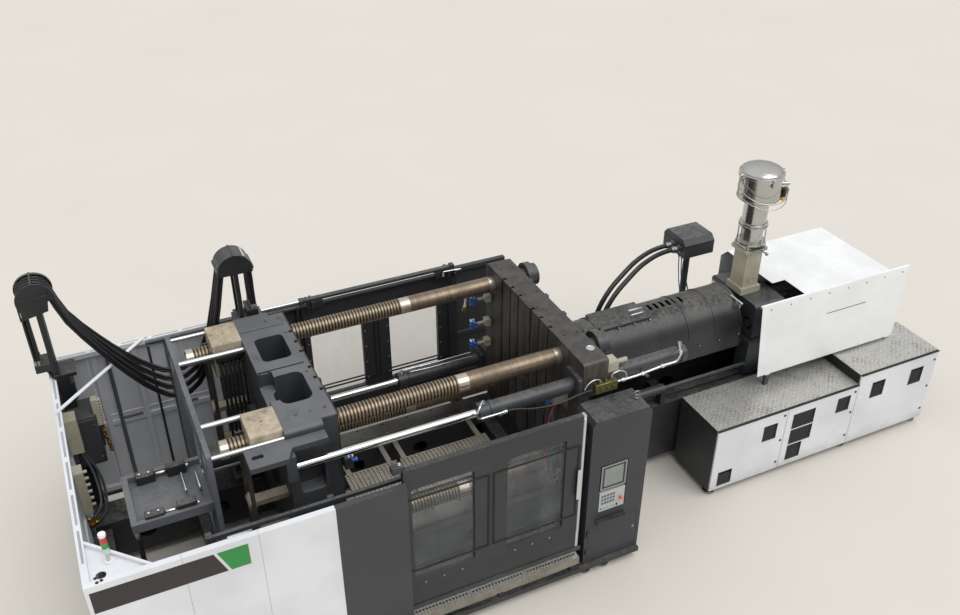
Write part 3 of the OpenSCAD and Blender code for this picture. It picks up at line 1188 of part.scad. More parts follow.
// Door of a service cabinet: folded sheet with louvred openings
module cabinet_door(i, vents) color("#e9eaec") {
  x = [door_edge(i) + 4, door_edge(i + 1) - 4];
  z = [plinth_h + 10, door_top(i) - 8];
  difference() {
    block(x, [-cab_y - 22, -cab_y - seat], z);
    block([x[0] + 3, x[1] - 3], [-cab_y - 19, -cab_y], [z[0] + 3, z[1] - 3]);
    for (v = vents) {
      block([x[0] + v[0], x[0] + v[0] + v[2]], [-cab_y - 23, -cab_y], [v[1], v[1] + v[3]]);
    }
  }
  for (v = vents, k = [0 : floor(v[3] / 34) - 1])
    translate([x[0] + v[0] - 6, -cab_y - 20, v[1] + 6 + k * 34]) rotate([-35, 0, 0]) cube([v[2] + 12, 3, 22]);
}

module cabinet_door_1() cabinet_door(0, [[110, 150, 190, 200], [door_edge(1) - door_edge(0) - 340, 640, 190, 220]]);
module cabinet_door_2() cabinet_door(1, [[110, 180, 210, 220], [110, 440, 330, 210], [110, 690, 330, 210],
  [door_edge(2) - door_edge(1) - 310, 700, 190, 210]]);
module cabinet_door_3() cabinet_door(2, [[240, 760, 200, 230], [door_edge(3) - door_edge(2) - 430, 760, 200, 230]]);

// Tread plates on top of the service cabinets
module deck_plates() color("#b2b5b7") both_sides() {
  block([cab_x + 2, cab_mid - 2], [deck_in, cab_y], [cab_top + seat, cab_top + deck_t]);
  block([cab_mid + 2, x_right], [deck_in, cab_y], [cab_top_high + seat, cab_top_high + deck_t]);
}

clamp_bed();
slide_rails();
injection_bed();
levelling_feet();
end_wall();
rear_wall();
white_panels();
dark_panels();
operator_door();
operator_window();
rear_door();
rear_window();
door_rails();
step_tread();
mould_tread();
control_cabinet();
control_screen();
control_keypad();
emergency_stop();
start_button();
mode_switch();
fixed_platen();
moving_platen();
tie_bars_upper();
tie_bars_lower();
tie_bar_nuts();
nut_housings();
half_nuts_front_outer();
half_nuts_front_inner();
half_nuts_rear_inner();
half_nuts_rear_outer();
traverse_barrels();
traverse_rods();
rear_yoke();
ejector_cylinder();
ejector_plate();
hose_posts();
hose_saddle();
clamp_hoses();
stack_light();
valve_blocks();
lock_manifold();
carriage();
barrel();
screw();
injection_crosshead();
barrel_guard();
carriage_cylinders();
junction_box();
conduits();
drive_hood();
side_guard();
feed_throat();
slide_gate();
hopper_loader();
loader_lid();
cabinet_door_1();
cabinet_door_2();
cabinet_door_3();
deck_plates();
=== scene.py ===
import math
import bmesh
import bpy
from mathutils import Matrix, Vector


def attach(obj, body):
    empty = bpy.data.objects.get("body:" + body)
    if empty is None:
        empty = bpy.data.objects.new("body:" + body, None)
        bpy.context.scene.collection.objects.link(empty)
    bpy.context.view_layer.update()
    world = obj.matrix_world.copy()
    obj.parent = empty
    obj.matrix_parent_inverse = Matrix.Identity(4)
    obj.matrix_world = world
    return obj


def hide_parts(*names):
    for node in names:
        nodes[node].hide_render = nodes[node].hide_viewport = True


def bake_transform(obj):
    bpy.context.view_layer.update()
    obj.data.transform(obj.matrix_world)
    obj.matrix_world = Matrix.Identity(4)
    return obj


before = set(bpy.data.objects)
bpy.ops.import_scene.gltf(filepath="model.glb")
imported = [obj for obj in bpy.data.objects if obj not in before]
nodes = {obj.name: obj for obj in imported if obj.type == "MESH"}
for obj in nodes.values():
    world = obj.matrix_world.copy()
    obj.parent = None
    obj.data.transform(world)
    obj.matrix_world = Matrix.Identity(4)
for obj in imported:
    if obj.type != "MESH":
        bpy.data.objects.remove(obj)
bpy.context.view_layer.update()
print("frame: loaded", len(nodes), "nodes")


# Camera, before everything else
cameraSet = {
    "place": (-4.54, -8.15, 8.5),
    "towards": (0.3574, 0.7616, -0.5407),
    "lens": 36.22,
}


def deselectAll():
    for piece in bpy.context.selected_objects:
        piece.select_set(False)


def aimAt(thing, towards):
    thing.rotation_euler = Vector(towards).to_track_quat("-Z", "Y").to_euler()


deselectAll()
bpy.ops.object.camera_add(location=cameraSet["place"])
camera = bpy.context.object
aimAt(camera, cameraSet["towards"])
camera.data.lens = cameraSet["lens"]
camera.data.sensor_width = 36
camera.data.clip_end = 80
bpy.context.scene.camera = camera
print("camera: placed")


# Materials: one wrapper for a socket, one for a material
class Wire:
    def __init__(self, finish, socket):
        self.finish = finish
        self.socket = socket

    def sum(self, kind, *others):
        return self.finish.math(kind, self, *others)

    def __add__(self, other):
        return self.sum("ADD", other)

    def __sub__(self, other):
        return self.sum("SUBTRACT", other)

    def __rsub__(self, other):
        return self.finish.math("SUBTRACT", other, self)

    def __mul__(self, other):
        return self.sum("MULTIPLY", other)

    def __truediv__(self, other):
        return self.sum("DIVIDE", other)

    def __pow__(self, other):
        return self.sum("POWER", other)

    def __gt__(self, other):
        return self.sum("GREATER_THAN", other)

    def __lt__(self, other):
        return self.sum("LESS_THAN", other)

    def __abs__(self):
        return self.sum("ABSOLUTE")

    def smallest(self, other):
        return self.sum("MINIMUM", other)

    def largest(self, other):
        return self.sum("MAXIMUM", other)

    def wrapped(self):
        return self.sum("FRACT")

    __radd__ = __add__
    __rmul__ = __mul__


def colour(code):
    values = [int(code[i : i + 2], 16) / 255 for i in (1, 3, 5)]
    return tuple([v / 12.92 if v <= 0.04045 else ((v + 0.055) / 1.055) ** 2.4 for v in values] + [1])


finishes = {}


class Finish:
    def __init__(self, name, fixed=None):
        self.name = name
        self.material = bpy.data.materials.new(name)
        self.material.use_nodes = True
        self.tree = self.material.node_tree
        self.surface = self.tree.nodes["Principled BSDF"]
        for socket, value in (fixed or {}).items():
            self.surface.inputs[socket].default_value = value

    def node(self, kind, settings=None, sockets=None, output=0):
        made = self.tree.nodes.new(kind)
        for key, value in (settings or {}).items():
            setattr(made, key, value)
        for key, value in (sockets or {}).items():
            if isinstance(value, Wire):
                self.tree.links.new(value.socket, made.inputs[key])
            else:
                made.inputs[key].default_value = value
        return Wire(self, made.outputs[output])

    def math(self, kind, *values):
        return self.node("ShaderNodeMath", {"operation": kind}, dict(enumerate(values)))

    def place(self, stretch=None):
        at = self.node("ShaderNodeTexCoord", output="Object")
        return self.node("ShaderNodeMapping", sockets={"Vector": at, "Scale": stretch}) if stretch else at

    def parts(self, value):
        split = self.node("ShaderNodeSeparateXYZ", sockets={0: value})
        return [Wire(self, output) for output in split.socket.node.outputs]

    def axes(self):
        return self.parts(self.place())

    def up(self):
        return self.parts(self.node("ShaderNodeNewGeometry", output="Normal"))[2]

    def noise(self, scale, detail=3.0, roughness=0.55, stretch=None):
        return self.node("ShaderNodeTexNoise", {}, {"Vector": self.place(stretch), "Scale": scale,
                                                    "Detail": detail, "Roughness": roughness})

    def ramp(self, value, low, high):
        return self.node("ShaderNodeMapRange", {"interpolation_type": "SMOOTHSTEP"},
                         {"Value": value, "From Min": low, "From Max": high})

    def blendColour(self, factor, first, second):
        first, second = [colour(shade) if isinstance(shade, str) else shade for shade in (first, second)]
        return self.node("ShaderNodeMix", {"data_type": "RGBA"}, {0: factor, 6: first, 7: second}, output=2)

    def bump(self, height, distance, strength=1.0, edge=0.0):
        sockets = {"Height": height, "Distance": distance, "Strength": strength}
        if edge:
            sockets["Normal"] = self.node("ShaderNodeBevel", {"samples": 4}, {"Radius": edge})
        return self.node("ShaderNodeBump", {}, sockets)

    def inside(self, value, low, high):
        return (value > low) * (value < high)

    def done(self, body, rough, normal=None, metallic=None, alpha=None):
        results = {"Base Color": body, "Roughness": rough, "Normal": normal, "Metallic": metallic,
                   "Alpha": alpha}
        for socket, value in results.items():
            if value:
                self.tree.links.new(value.socket, self.surface.inputs[socket])
        finishes[self.name] = self.material


# Paint over steel: cloudy colour, dust on what faces up, scuffs, and a fine skin
paintSet = {"dustColour": "#8f8a80", "skin": 260.0, "edge": 0.004}


def painted(name, base, second, dust=0.25, gloss=0.42, chip=0.0, chipColour="#8a8782", skin=0.0004,
            bright=None,
            accent=("#d3d5d6", 0.9)):
    made = Finish(name)
    cloud = made.noise(1.7, 4.0, 0.6)
    fine = made.noise(23.0, 5.0, 0.62)
    body = made.blendColour(made.ramp(cloud, 0.35, 0.68), base, second)
    settled = made.ramp(made.up(), 0.55, 0.98) * made.ramp(fine * 0.6 + cloud * 0.5, 0.42, 0.72) * dust
    body = made.blendColour(settled, body, paintSet["dustColour"])
    scuff = made.ramp(made.noise(9.0, 6.0, 0.75, stretch=(1, 1, 5)), 0.62, 0.8)
    rough = gloss + settled * 0.4 + scuff * 0.14 + fine * 0.08
    metallic = None
    if chip:
        worn = made.ramp(made.noise(14.0, 8.0, 0.8), 0.66, 0.7) * chip
        body = made.blendColour(worn, body, chipColour)
    if bright:
        metal = bright(*made.axes())
        body = made.blendColour(metal, body, accent[0])
        metallic = metal * accent[1]
        rough = rough - metal * 0.16
    height = made.noise(paintSet["skin"], 2.0) + fine * 1.5
    made.done(body, rough, made.bump(height, skin, 0.7, paintSet["edge"]), metallic)


# Bare or plated steel: brushed along one axis, with an oil film in patches
def bareMetal(name, base, second, rough=0.3, grain=(1, 40, 40), film="#5b4a36", filmShare=0.0, metallic=1.0):
    made = Finish(name)
    brushed = made.noise(30.0, 3.0, 0.6, stretch=grain)
    oil = made.ramp(made.noise(2.6, 5.0, 0.65), 0.45, 0.7) * filmShare
    body = made.blendColour(oil, made.blendColour(made.ramp(brushed, 0.3, 0.7), base, second), film)
    made.done(body, rough + made.ramp(brushed, 0.3, 0.8) * 0.12 + oil * 0.25,
              made.bump(brushed, 0.0003, 0.5, 0.003),
              metallic - oil * 0.6)


# Rubber and plastic: a fine grain, a little lighter in patches, dust on what faces up
def plastic(name, base, rough=0.5, grain=900.0, bumpSize=0.0002, dust=0.15, coat=0.0):
    made = Finish(name, {"Coat Weight": coat, "Coat Roughness": 0.2})
    cloud = made.noise(4.0, 4.0, 0.6)
    lighter = tuple([c * 1.5 for c in colour(base)[:3]] + [1])
    body = made.blendColour(made.ramp(cloud, 0.35, 0.75) * 0.35, base, lighter)
    settled = made.ramp(made.up(), 0.5, 0.95) * made.ramp(cloud, 0.4, 0.7) * dust
    made.done(made.blendColour(settled, body, paintSet["dustColour"]), rough + cloud * 0.12 + settled * 0.3,
              made.bump(made.noise(grain, 2.0), bumpSize, 0.6))


painted("bedPaint", "#27292b", "#333436", dust=0.35, gloss=0.4, chip=0.25)
# dark grey of the wall ribs and clips: painted shade
painted("ribAndClipPaintedShade", "#55575a", "#5f6265", dust=0.2, gloss=0.45)
painted("doorPaint", "#2b2c2e", "#303134", dust=0.18, gloss=0.46, skin=0.0006, bright=lambda x, y, z: (
    (x > -0.422) * (x < -0.37) * (y < -1.735)).largest((x > -0.362) * (x < -0.332) * (y < -1.6)))
painted("cabinetPaint", "#303236", "#35373b", dust=0.3, gloss=0.48, skin=0.0008)
painted("yokePaint", "#56595e", "#62656a", dust=0.3, gloss=0.42, chip=0.3, bright=lambda x, y, z: x > -3.924)
painted("cylinderPaint", "#2e3134", "#3a3d41", dust=0.3, gloss=0.33)
painted("guardPaint", "#1d1e20", "#26282a", dust=0.4, gloss=0.3)
painted("hoodPaint", "#f1f2f2", "#e9eaea", dust=0.1, gloss=0.38)
painted("sidePaint", "#f1f2f2", "#e9eaea", dust=0.1, gloss=0.38, bright=lambda x, y, z: z < 1.2,
        accent=("#2b2d30", 0.0))
painted("boxPaint", "#3b3d40", "#46484b", dust=0.55, gloss=0.5)
painted("feederPaint", "#b9b49f", "#a39e8a", dust=0.2, gloss=0.4, chip=0.5, chipColour="#6d6a60")
bareMetal("wornSteel", "#8d8a84", "#6f6b64", rough=0.34, film="#4b4338", filmShare=0.5)
bareMetal("chromeRod", "#dfe1e2", "#c9cccd", rough=0.1, grain=(1, 26, 26), filmShare=0.06)
bareMetal("stainless", "#c9c8c4", "#b3b2ae", rough=0.16, grain=(60, 60, 2), filmShare=0.08)
bareMetal("zincPlate", "#a9abac", "#8e9092", rough=0.3, grain=(20, 20, 20), filmShare=0.2)
plastic("hoseRubber", "#17181a", rough=0.36, grain=240.0, bumpSize=0.0006, dust=0.2)
plastic("blackPlastic", "#1a1b1c", rough=0.45)
plastic("gasketRubber", "#131415", rough=0.62)
plastic("bluePlastic", "#1d57b0", rough=0.3, coat=0.4)
plastic("orangePlastic", "#e2571a", rough=0.34, coat=0.4)
plastic("greenPlastic", "#2c8c49", rough=0.34, coat=0.3)
plastic("whitePlastic", "#e6e6e2", rough=0.4)
plastic("greyKey", "#b8babb", rough=0.42)
plastic("hoseRed", "#a8392f", rough=0.4, grain=300.0)
plastic("hoseBlue", "#2a5f9e", rough=0.4, grain=300.0)
plastic("hoseGrey", "#3c3e3f", rough=0.45, grain=240.0)
plastic("yellowPlastic", "#e0b21c", rough=0.36)
# near-black for ports, holes and slots: painted shade inside the openings
plastic("openingPaintedShade", "#0e0f10", rough=0.7)
plastic("displayGlass", "#7d8780", rough=0.16, grain=1200.0, bumpSize=0.00005, dust=0.05)
painted("fieldDark", "#2c2728", "#2f2a2b", dust=0.08, gloss=0.36)
painted("fieldGreen", "#2f8f45", "#2b8740", dust=0.06, gloss=0.34)
painted("saddlePaint", "#2f3133", "#3a3c3f", dust=0.3, gloss=0.34)
painted("coverPaint", "#232426", "#2b2d2f", dust=0.4, gloss=0.32)
# grey of the rim slots: painted shade inside the slots
painted("rimSlotPaintedShade", "#a9adb1", "#9ea2a6", dust=0.2, gloss=0.45)
bareMetal("brassFitting", "#b08b45", "#8f6b2e", rough=0.28, grain=(20, 20, 20), filmShare=0.3)
bareMetal("oliveZinc", "#8b8256", "#6f683f", rough=0.36, grain=(20, 20, 20), filmShare=0.35, metallic=0.8)


# Powder coat of the guard walls: white outside and on the rims, and a greyer white on the inner sheets as
# painted shade
wallSet = {"white": "#e3e5e8", "shade": "#d6d8db", "inner": "#d6d8dc", "innerShade": "#c9cbd0",
           "grime": "#8c867c"}


def wallFinish(name, inner):
    made = Finish(name)
    x, y, z = made.axes()
    cloud = made.noise(1.1, 3.0, 0.55)
    fine = made.noise(30.0, 6.0, 0.65)
    outer = made.blendColour(made.ramp(cloud, 0.35, 0.7), wallSet["white"], wallSet["shade"])
    # painted shade: the inner sheets get a greyer copy of the white
    sheet = made.blendColour(made.ramp(cloud, 0.3, 0.75), wallSet["inner"], wallSet["innerShade"])
    body = made.blendColour(inner(x, y, z), outer, sheet)
    grime = made.ramp(z + made.noise(3.0, 5.0) * 0.35, 0.62, 0.2) * 0.32 + made.ramp(fine, 0.66, 0.8) * 0.1
    made.done(made.blendColour(grime, body, wallSet["grime"]), 0.4 + fine * 0.12 + grime * 0.3,
              made.bump(made.noise(320.0, 2.0), 0.0004, 0.6, 0.004))


# each mask picks the inner sheets that get the painted shade
wallFinish("endWallCoat", lambda x, y, z: (x > -5.197) * (z < 2.135) * (x < -5.13))
wallFinish("rearWallCoat", lambda x, y, z: (y < 1.797) * (z < 2.135) * (y > 1.7))
wallFinish("frontCoat", lambda x, y, z: (y > -1.797) * (y < -1.0) * (z < 2.135))


# Lamp tower: one lens above the other, each with fine vertical ribs
lampSet = {
    "parts": [(2.168, "#e8e8e4"), (2.258, "#c3c5c6"), (2.318, "#cfe3d6"), (2.378, "#2f9c4d"),
              (2.448, "#d0281f")],
    "top": "#f1f1ee", "grime": "#8d8a84", "middle": (-4.96, -1.51), "ribs": 28.0, "circle": 6.2832,
}


def lampTower():
    made = Finish("lampTower", {"Coat Weight": 0.4, "Coat Roughness": 0.1})
    x, y, z = made.axes()
    body = lampSet["top"]
    for top, shade in reversed(lampSet["parts"]):
        body = made.blendColour(z < top, body, shade)
    around = made.math("ARCTAN2", y - lampSet["middle"][1], x - lampSet["middle"][0])
    wave = (around * (lampSet["ribs"] / lampSet["circle"]) + 40.0).wrapped()
    rib = made.ramp(abs(wave - 0.5), 0.1, 0.4) * made.inside(z, 2.27, 2.44)
    made.done(made.blendColour(made.noise(30.0, 4.0) * 0.12, body, lampSet["grime"]),
              0.28 + made.noise(60.0, 3.0) * 0.12, made.bump(rib, 0.001, 0.6, 0.002))


# Keypad: silver plate, grey caps in rows, and a row of green lamps below them
keypadSet = {"plate": ("#b6b8b9", "#a9abad"), "caps": "#5c6064", "lamps": "#37a457", "capFace": -1.7545,
             "lampTop": 0.97}


def keypadFinish():
    made = Finish("keypadFinish")
    x, y, z = made.axes()
    plate = made.blendColour(made.noise(5.0, 4.0), *keypadSet["plate"])
    keys = made.blendColour(z > keypadSet["lampTop"], keypadSet["lamps"], keypadSet["caps"])
    made.done(made.blendColour(y < keypadSet["capFace"], plate, keys), 0.38 + made.noise(40.0, 4.0) * 0.16,
              made.bump(made.noise(900.0, 2.0), 0.0002, 0.6, 0.0015))


# Dark panels beside the doors: semi-matt, with faint wipe marks
painted("panelPaint", "#38393b", "#3d3e41", dust=0.12, gloss=0.5, skin=0.0006)


# Cabinet doors: white sheet with black louvres in each opening
louvreSet = {
    "doorOne": [(1.904, 2.094, 0.15, 0.35), (2.514, 2.704, 0.64, 0.86)],
    "doorTwo": [(2.964, 3.174, 0.18, 0.40), (2.964, 3.294, 0.44, 0.65), (2.964, 3.294, 0.69, 0.90),
                (3.674, 3.864, 0.70, 0.91)],
    "doorThree": [(4.224, 4.424, 0.76, 0.99), (4.884, 5.084, 0.76, 0.99)],
}


def louvredDoor(name, openings):
    made = Finish(name)
    x, y, z = made.axes()
    cloud = made.noise(1.3, 3.0, 0.55)
    fine = made.noise(34.0, 6.0, 0.65)
    body = made.blendColour(made.ramp(cloud, 0.35, 0.7), "#dfe1e4", "#d2d4d7")
    dirt = made.ramp(z + made.noise(3.6, 5.0) * 0.3, 0.42, 0.14) * 0.4 + made.ramp(fine, 0.64, 0.78) * 0.12
    body = made.blendColour(dirt, body, "#8a847a")
    louvre = None
    for x0, x1, z0, z1 in openings:
        here = made.inside(x, x0 - 0.014, x1 + 0.014) * made.inside(z, z0 - 0.004, z1 + 0.012) * (y > -1.3405)
        louvre = here if louvre is None else louvre.largest(here)
    made.done(made.blendColour(louvre, body, "#18191a"), 0.4 + fine * 0.12 + dirt * 0.3,
              made.bump(made.noise(320.0, 2.0), 0.0004, 0.6, 0.003))


# Cast and machined iron of the moving platen: grey paint, painted shade on the faces that don't face up, oil
# at the bolt holes, bare mould face
castSet = {"grey": "#65676a", "greyShade": "#585a5e", "side": "#25272a", "face": "#4a4037", "oil": "#2a2520"}


def castIron():
    made = Finish("castIron")
    x, y, z = made.axes()
    fine = made.noise(36.0, 6.0, 0.7)
    body = made.blendColour(made.ramp(made.noise(1.9, 5.0, 0.62), 0.35, 0.7), castSet["grey"],
                            castSet["greyShade"])
    # painted shade: faces that don't face up are darkened towards the side colour
    body = made.blendColour(made.ramp(made.up(), 0.9, 0.2) * 0.75, body, castSet["side"])
    face = made.ramp(x, -2.712, -2.698)
    body = made.blendColour(face, body, castSet["face"])
    oil = made.ramp(made.noise(3.2, 6.0, 0.72), 0.54, 0.7) * 0.45
    made.done(made.blendColour(oil, body, castSet["oil"]), 0.46 + fine * 0.14 - oil * 0.12,
              made.bump(made.noise(60.0, 5.0, 0.7) * (1 - face), 0.0022, 0.55, 0.006), face * 0.6)


# The fixed platen: machined iron under brown oil, streaked downwards
def oiledIron():
    made = Finish("oiledIron")
    streak = made.noise(6.0, 6.0, 0.7, stretch=(1, 1, 0.12))
    cloud = made.noise(2.2, 5.0, 0.65)
    body = made.blendColour(made.ramp(streak, 0.35, 0.68), "#57524d", "#393633")
    body = made.blendColour(made.ramp(cloud, 0.5, 0.75) * 0.5, body, "#241f1b")
    body = made.blendColour(made.ramp(made.up(), 0.6, 0.95) * 0.6, body, "#545250")
    made.done(body, 0.34 + cloud * 0.2, made.bump(made.noise(90.0, 4.0), 0.0006, 0.5, 0.005),
              0.35 + made.ramp(streak, 0.4, 0.7) * 0.3)


# Tie bars: hard steel browned by oil, polished where the nuts and the platen run
tieBarSet = {"ridge": "#8d7f6b", "root": "#3f352a", "smooth": "#706457", "smoothLight": "#8b7a65",
             "film": "#5c4d3d", "bright": "#cfc6b6", "axisZ": (0.95, 2.43), "axisY": 0.82,
             "collars": [(-1.372, -1.255), (-0.235, -0.165), (-3.83, -3.74)]}


def tieBarSteel():
    s = tieBarSet
    made = Finish("tieBarSteel")
    x, y, z = made.axes()
    offY = abs(abs(y) - s["axisY"])
    offZ = (abs(z - s["axisZ"][0])).smallest(abs(z - s["axisZ"][1]))
    radius = (offY * offY + offZ * offZ) ** 0.5
    ring = made.noise(160.0, 2.0, 0.5, stretch=(1, 0.02, 0.02))
    cloud = made.noise(3.0, 5.0, 0.65)
    smooth = made.blendColour(made.ramp(ring, 0.35, 0.65), s["smooth"], s["smoothLight"])
    smooth = made.blendColour(made.ramp(cloud, 0.5, 0.75) * 0.5, smooth, s["film"])
    ridge = made.blendColour(made.ramp(radius, 0.088, 0.0945), s["root"], s["ridge"])
    body = made.blendColour(made.inside(x, -3.75, -1.372), smooth, ridge)
    first, second, third = [made.inside(x, low, high) for low, high in s["collars"]]
    collar = first.largest(second).largest(third)
    made.done(made.blendColour(collar * 0.8, body, s["bright"]),
              0.3 + made.ramp(cloud, 0.4, 0.7) * 0.16 - collar * 0.08, made.bump(ring, 0.0002, 0.5, 0.0015),
              0.75 - cloud * 0.2 + collar * 0.2)


# Beige paint of the lock housings: stained below the ports, worn at the corners
def housingPaint():
    made = Finish("housingPaint")
    x, y, z = made.axes()
    stain = made.noise(7.0, 7.0, 0.75, stretch=(1, 1, 0.35))
    body = made.blendColour(made.ramp(stain, 0.3, 0.62), "#bfb39e", "#a3957f")
    grime = made.ramp(stain, 0.52, 0.74) * 0.7
    side = made.ramp(made.up(), 0.7, 0.1) * made.ramp(z, 2.52, 2.3) * 0.55
    made.done(made.blendColour(grime.largest(side), body, "#4d4335"),
              0.5 + made.noise(60.0, 5.0, 0.7) * 0.15 - grime * 0.1,
              made.bump(made.noise(70.0, 4.0), 0.0012, 0.6, 0.005))


# Chequer plate of the deck: raised bars in two directions on a square grid
deckSet = {"pitch": 0.052, "diagonal": 0.7071, "barLength": 0.36, "barWidth": 0.15, "metal": "#c9c8c3",
           "shade": "#a5a39c", "worn": "#efeee9", "dirt": "#918b7f", "shift": 400.0}


def chequerPlate():
    s = deckSet
    made = Finish("chequerPlate")
    x, y, z = made.axes()
    u = (x + y) * (s["diagonal"] / s["pitch"])
    v = (x - y + 20.0) * (s["diagonal"] / s["pitch"])
    parity = ((made.math("FLOOR", u + s["shift"]) + made.math("FLOOR", v
                                                              + s["shift"])) * 0.5).wrapped() > 0.25
    across = abs((u + s["shift"]).wrapped() - 0.5)
    along = abs((v + s["shift"]).wrapped() - 0.5)
    first = (across / s["barLength"]) ** 2.0 + (along / s["barWidth"]) ** 2.0
    second = (across / s["barWidth"]) ** 2.0 + (along / s["barLength"]) ** 2.0
    bar = made.ramp(first * parity + second * (1 - parity), 1.0, 0.45)
    cloud = made.noise(3.4, 6.0, 0.7)
    trodden = made.ramp(cloud, 0.42, 0.62)
    body = made.blendColour(made.ramp(made.noise(40.0, 5.0, 0.7), 0.35, 0.7), s["metal"], s["shade"])
    body = made.blendColour((1 - bar) * made.ramp(cloud, 0.5, 0.72) * 0.75, body, s["dirt"])
    body = made.blendColour(bar * (0.45 + trodden * 0.55), body, s["worn"])
    made.done(body, 0.42 - bar * 0.16 + made.ramp(cloud, 0.5, 0.7) * 0.2, made.bump(bar, 0.0022, 1.0),
              0.6 + trodden * 0.2)


# Gripping treads: bright where feet polish the ribs, grey dirt between them
def treadMetal(name, pitch, phase, dark, bright):
    made = Finish(name)
    x, y, z = made.axes()
    rib = ((x - phase) / pitch).wrapped()
    cloud = made.noise(4.0, 6.0, 0.7)
    worn = made.ramp(made.noise(75.0, 3.0, 0.6), 0.42, 0.6) * made.ramp(made.up(), 0.5, 0.9)
    body = made.blendColour(made.ramp(cloud, 0.35, 0.7), "#9a958a", "#827c70")
    body = made.blendColour(worn * 0.8, body, bright)
    made.done(made.blendColour(made.ramp(abs(rib - 0.5), 0.38, 0.5) * 0.35, body, dark),
              0.46 - worn * 0.18 + cloud * 0.1, made.bump(made.noise(120.0, 3.0), 0.0012, 0.8), 0.55
              + worn * 0.3)


# Clear sheet of the door windows: faint grey tint, wiped smears, fine scratches
def clearSheet(name, tint, share):
    made = Finish(name, {"IOR": 1.5})
    smear = made.noise(3.0, 5.0, 0.7, stretch=(1, 1, 0.4))
    scratch = made.ramp(made.noise(220.0, 2.0, 0.5, stretch=(1, 1, 0.05)), 0.66, 0.72)
    made.done(made.blendColour(made.ramp(smear, 0.4, 0.7), tint, "#9da1a3"), 0.06
              + made.ramp(smear, 0.4, 0.7) * 0.14,
              alpha=share + made.ramp(smear, 0.5, 0.8) * 0.05 + scratch * 0.06)


for makeFinish in (lampTower, keypadFinish, castIron, oiledIron, tieBarSteel, housingPaint, chequerPlate):
    makeFinish()
for doorName, openings in louvreSet.items():
    louvredDoor(doorName, openings)
treadMetal("mouldTreadMetal", 0.05, -2.34, "#3a352d", "#d9d2c4")
treadMetal("stepTreadMetal", 0.038, -2.24, "#4b4842", "#eceae4")
clearSheet("windowSheet", "#7b7f81", 0.17)
clearSheet("sightGlass", "#b9c4bd", 0.3)
print("materials:", len(finishes))


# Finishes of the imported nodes
nodeFinish = {
    "clamp_bed": "bedPaint", "slide_rails": "wornSteel", "injection_bed": "bedPaint",
    "levelling_feet": "zincPlate", "end_wall": "endWallCoat", "rear_wall": "rearWallCoat",
    "white_panels": "frontCoat", "dark_panels": "panelPaint", "operator_door": "doorPaint",
    "operator_window": "windowSheet", "rear_door": "doorPaint", "rear_window": "windowSheet",
    "door_rails": "cylinderPaint", "step_tread": "stepTreadMetal", "mould_tread": "mouldTreadMetal",
    "control_cabinet": "cabinetPaint", "control_screen": "zincPlate", "control_keypad": "keypadFinish",
    "emergency_stop": "orangePlastic", "start_button": "greenPlastic", "mode_switch": "blackPlastic",
    "fixed_platen": "oiledIron", "moving_platen": "castIron", "tie_bars_upper": "tieBarSteel",
    "tie_bars_lower": "tieBarSteel", "tie_bar_nuts": "cylinderPaint",
    "half_nuts_front_outer": "wornSteel", "half_nuts_front_inner": "wornSteel",
    "half_nuts_rear_inner": "wornSteel", "half_nuts_rear_outer": "wornSteel",
    "traverse_barrels": "cylinderPaint", "traverse_rods": "chromeRod", "rear_yoke": "yokePaint",
    "ejector_cylinder": "cylinderPaint", "ejector_plate": "wornSteel", "hose_posts": "guardPaint",
    "hose_saddle": "guardPaint", "valve_blocks": "feederPaint", "lock_manifold": "bedPaint",
    "carriage": "cylinderPaint", "barrel": "wornSteel", "screw": "chromeRod",
    "injection_crosshead": "bedPaint", "barrel_guard": "guardPaint", "carriage_cylinders": "cylinderPaint",
    "junction_box": "boxPaint", "drive_hood": "hoodPaint", "side_guard": "sidePaint",
    "feed_throat": "feederPaint", "slide_gate": "zincPlate", "loader_lid": "stainless",
    "cabinet_door_1": "doorOne", "cabinet_door_2": "doorTwo", "cabinet_door_3": "doorThree",
    "deck_plates": "chequerPlate", "stack_light": "lampTower",
}
slotFinish = {
    "housing_beige": "housingPaint", "panel_dark": "bedPaint", "bed_black": "bedPaint",
    "stainless": "stainless", "window": "sightGlass",
}


def dressNodes():
    for name, node in nodes.items():
        for s in node.material_slots:
            if name in nodeFinish:
                s.material = finishes[nodeFinish[name]]
            else:
                s.material = finishes[slotFinish.get(s.material.name.split(".")[0], "stainless")]


dressNodes()


# Hoses over the two saddles, and the two conduits of the injection unit
hoseSet = {
    "diameter": 0.032, "pitch": 0.058, "gap": 0.034, "columns": 4, "fixed": (-5.12, 1.5, 3.2),
    "moving": (-3.12, 1.21, 3.2),
    "bend": 0.129, "foot": 2.4, "end": 2.6706, "slack": (0.24, 0.16, 0.08, 0.0),
    "droop": ((0.06, 2.87), (0.2, 2.51), (0.34, 2.22), (0.48, 2.0), (0.61, 1.9), (0.75, 2.0), (0.88, 2.38)),
}
conduitSet = {
    "diameter": 0.064, "gap": 0.13, "start": (2.6297, 0.96, 2.17),
    "route": [(0, 0, 0), (-0.16, 0, 0), (-0.38, -0.05, 0), (-0.64, -0.13, -0.04), (-0.9, -0.23, -0.13),
              (-1.12, -0.3, -0.26), (-1.29, -0.345, -0.47), (-1.38, -0.365, -0.76), (-1.4, -0.37, -1.06),
              (-1.4, -0.37, -1.29)],
}


def smoothRoute(points, steps):
    points = [Vector(p) for p in points]
    out = []
    for i in range(len(points) - 1):
        before = points[max(i - 1, 0)]
        after = points[min(i + 2, len(points) - 1)]
        a, b = points[i], points[i + 1]
        if i == 0:
            before = a + (a - b)
        if i == len(points) - 2:
            after = b + (b - a)
        for k in range(steps):
            t = k / steps
            out.append(0.5 * ((2 * a) + (b - before) * t + (2 * before - 5 * a + 4 * b - after) * t * t
                              + (3 * a - before - 3 * b + after) * t ** 3))
    return out + [points[-1]]


def routeLength(points):
    return sum((b - a).length for a, b in zip(points, points[1:]))


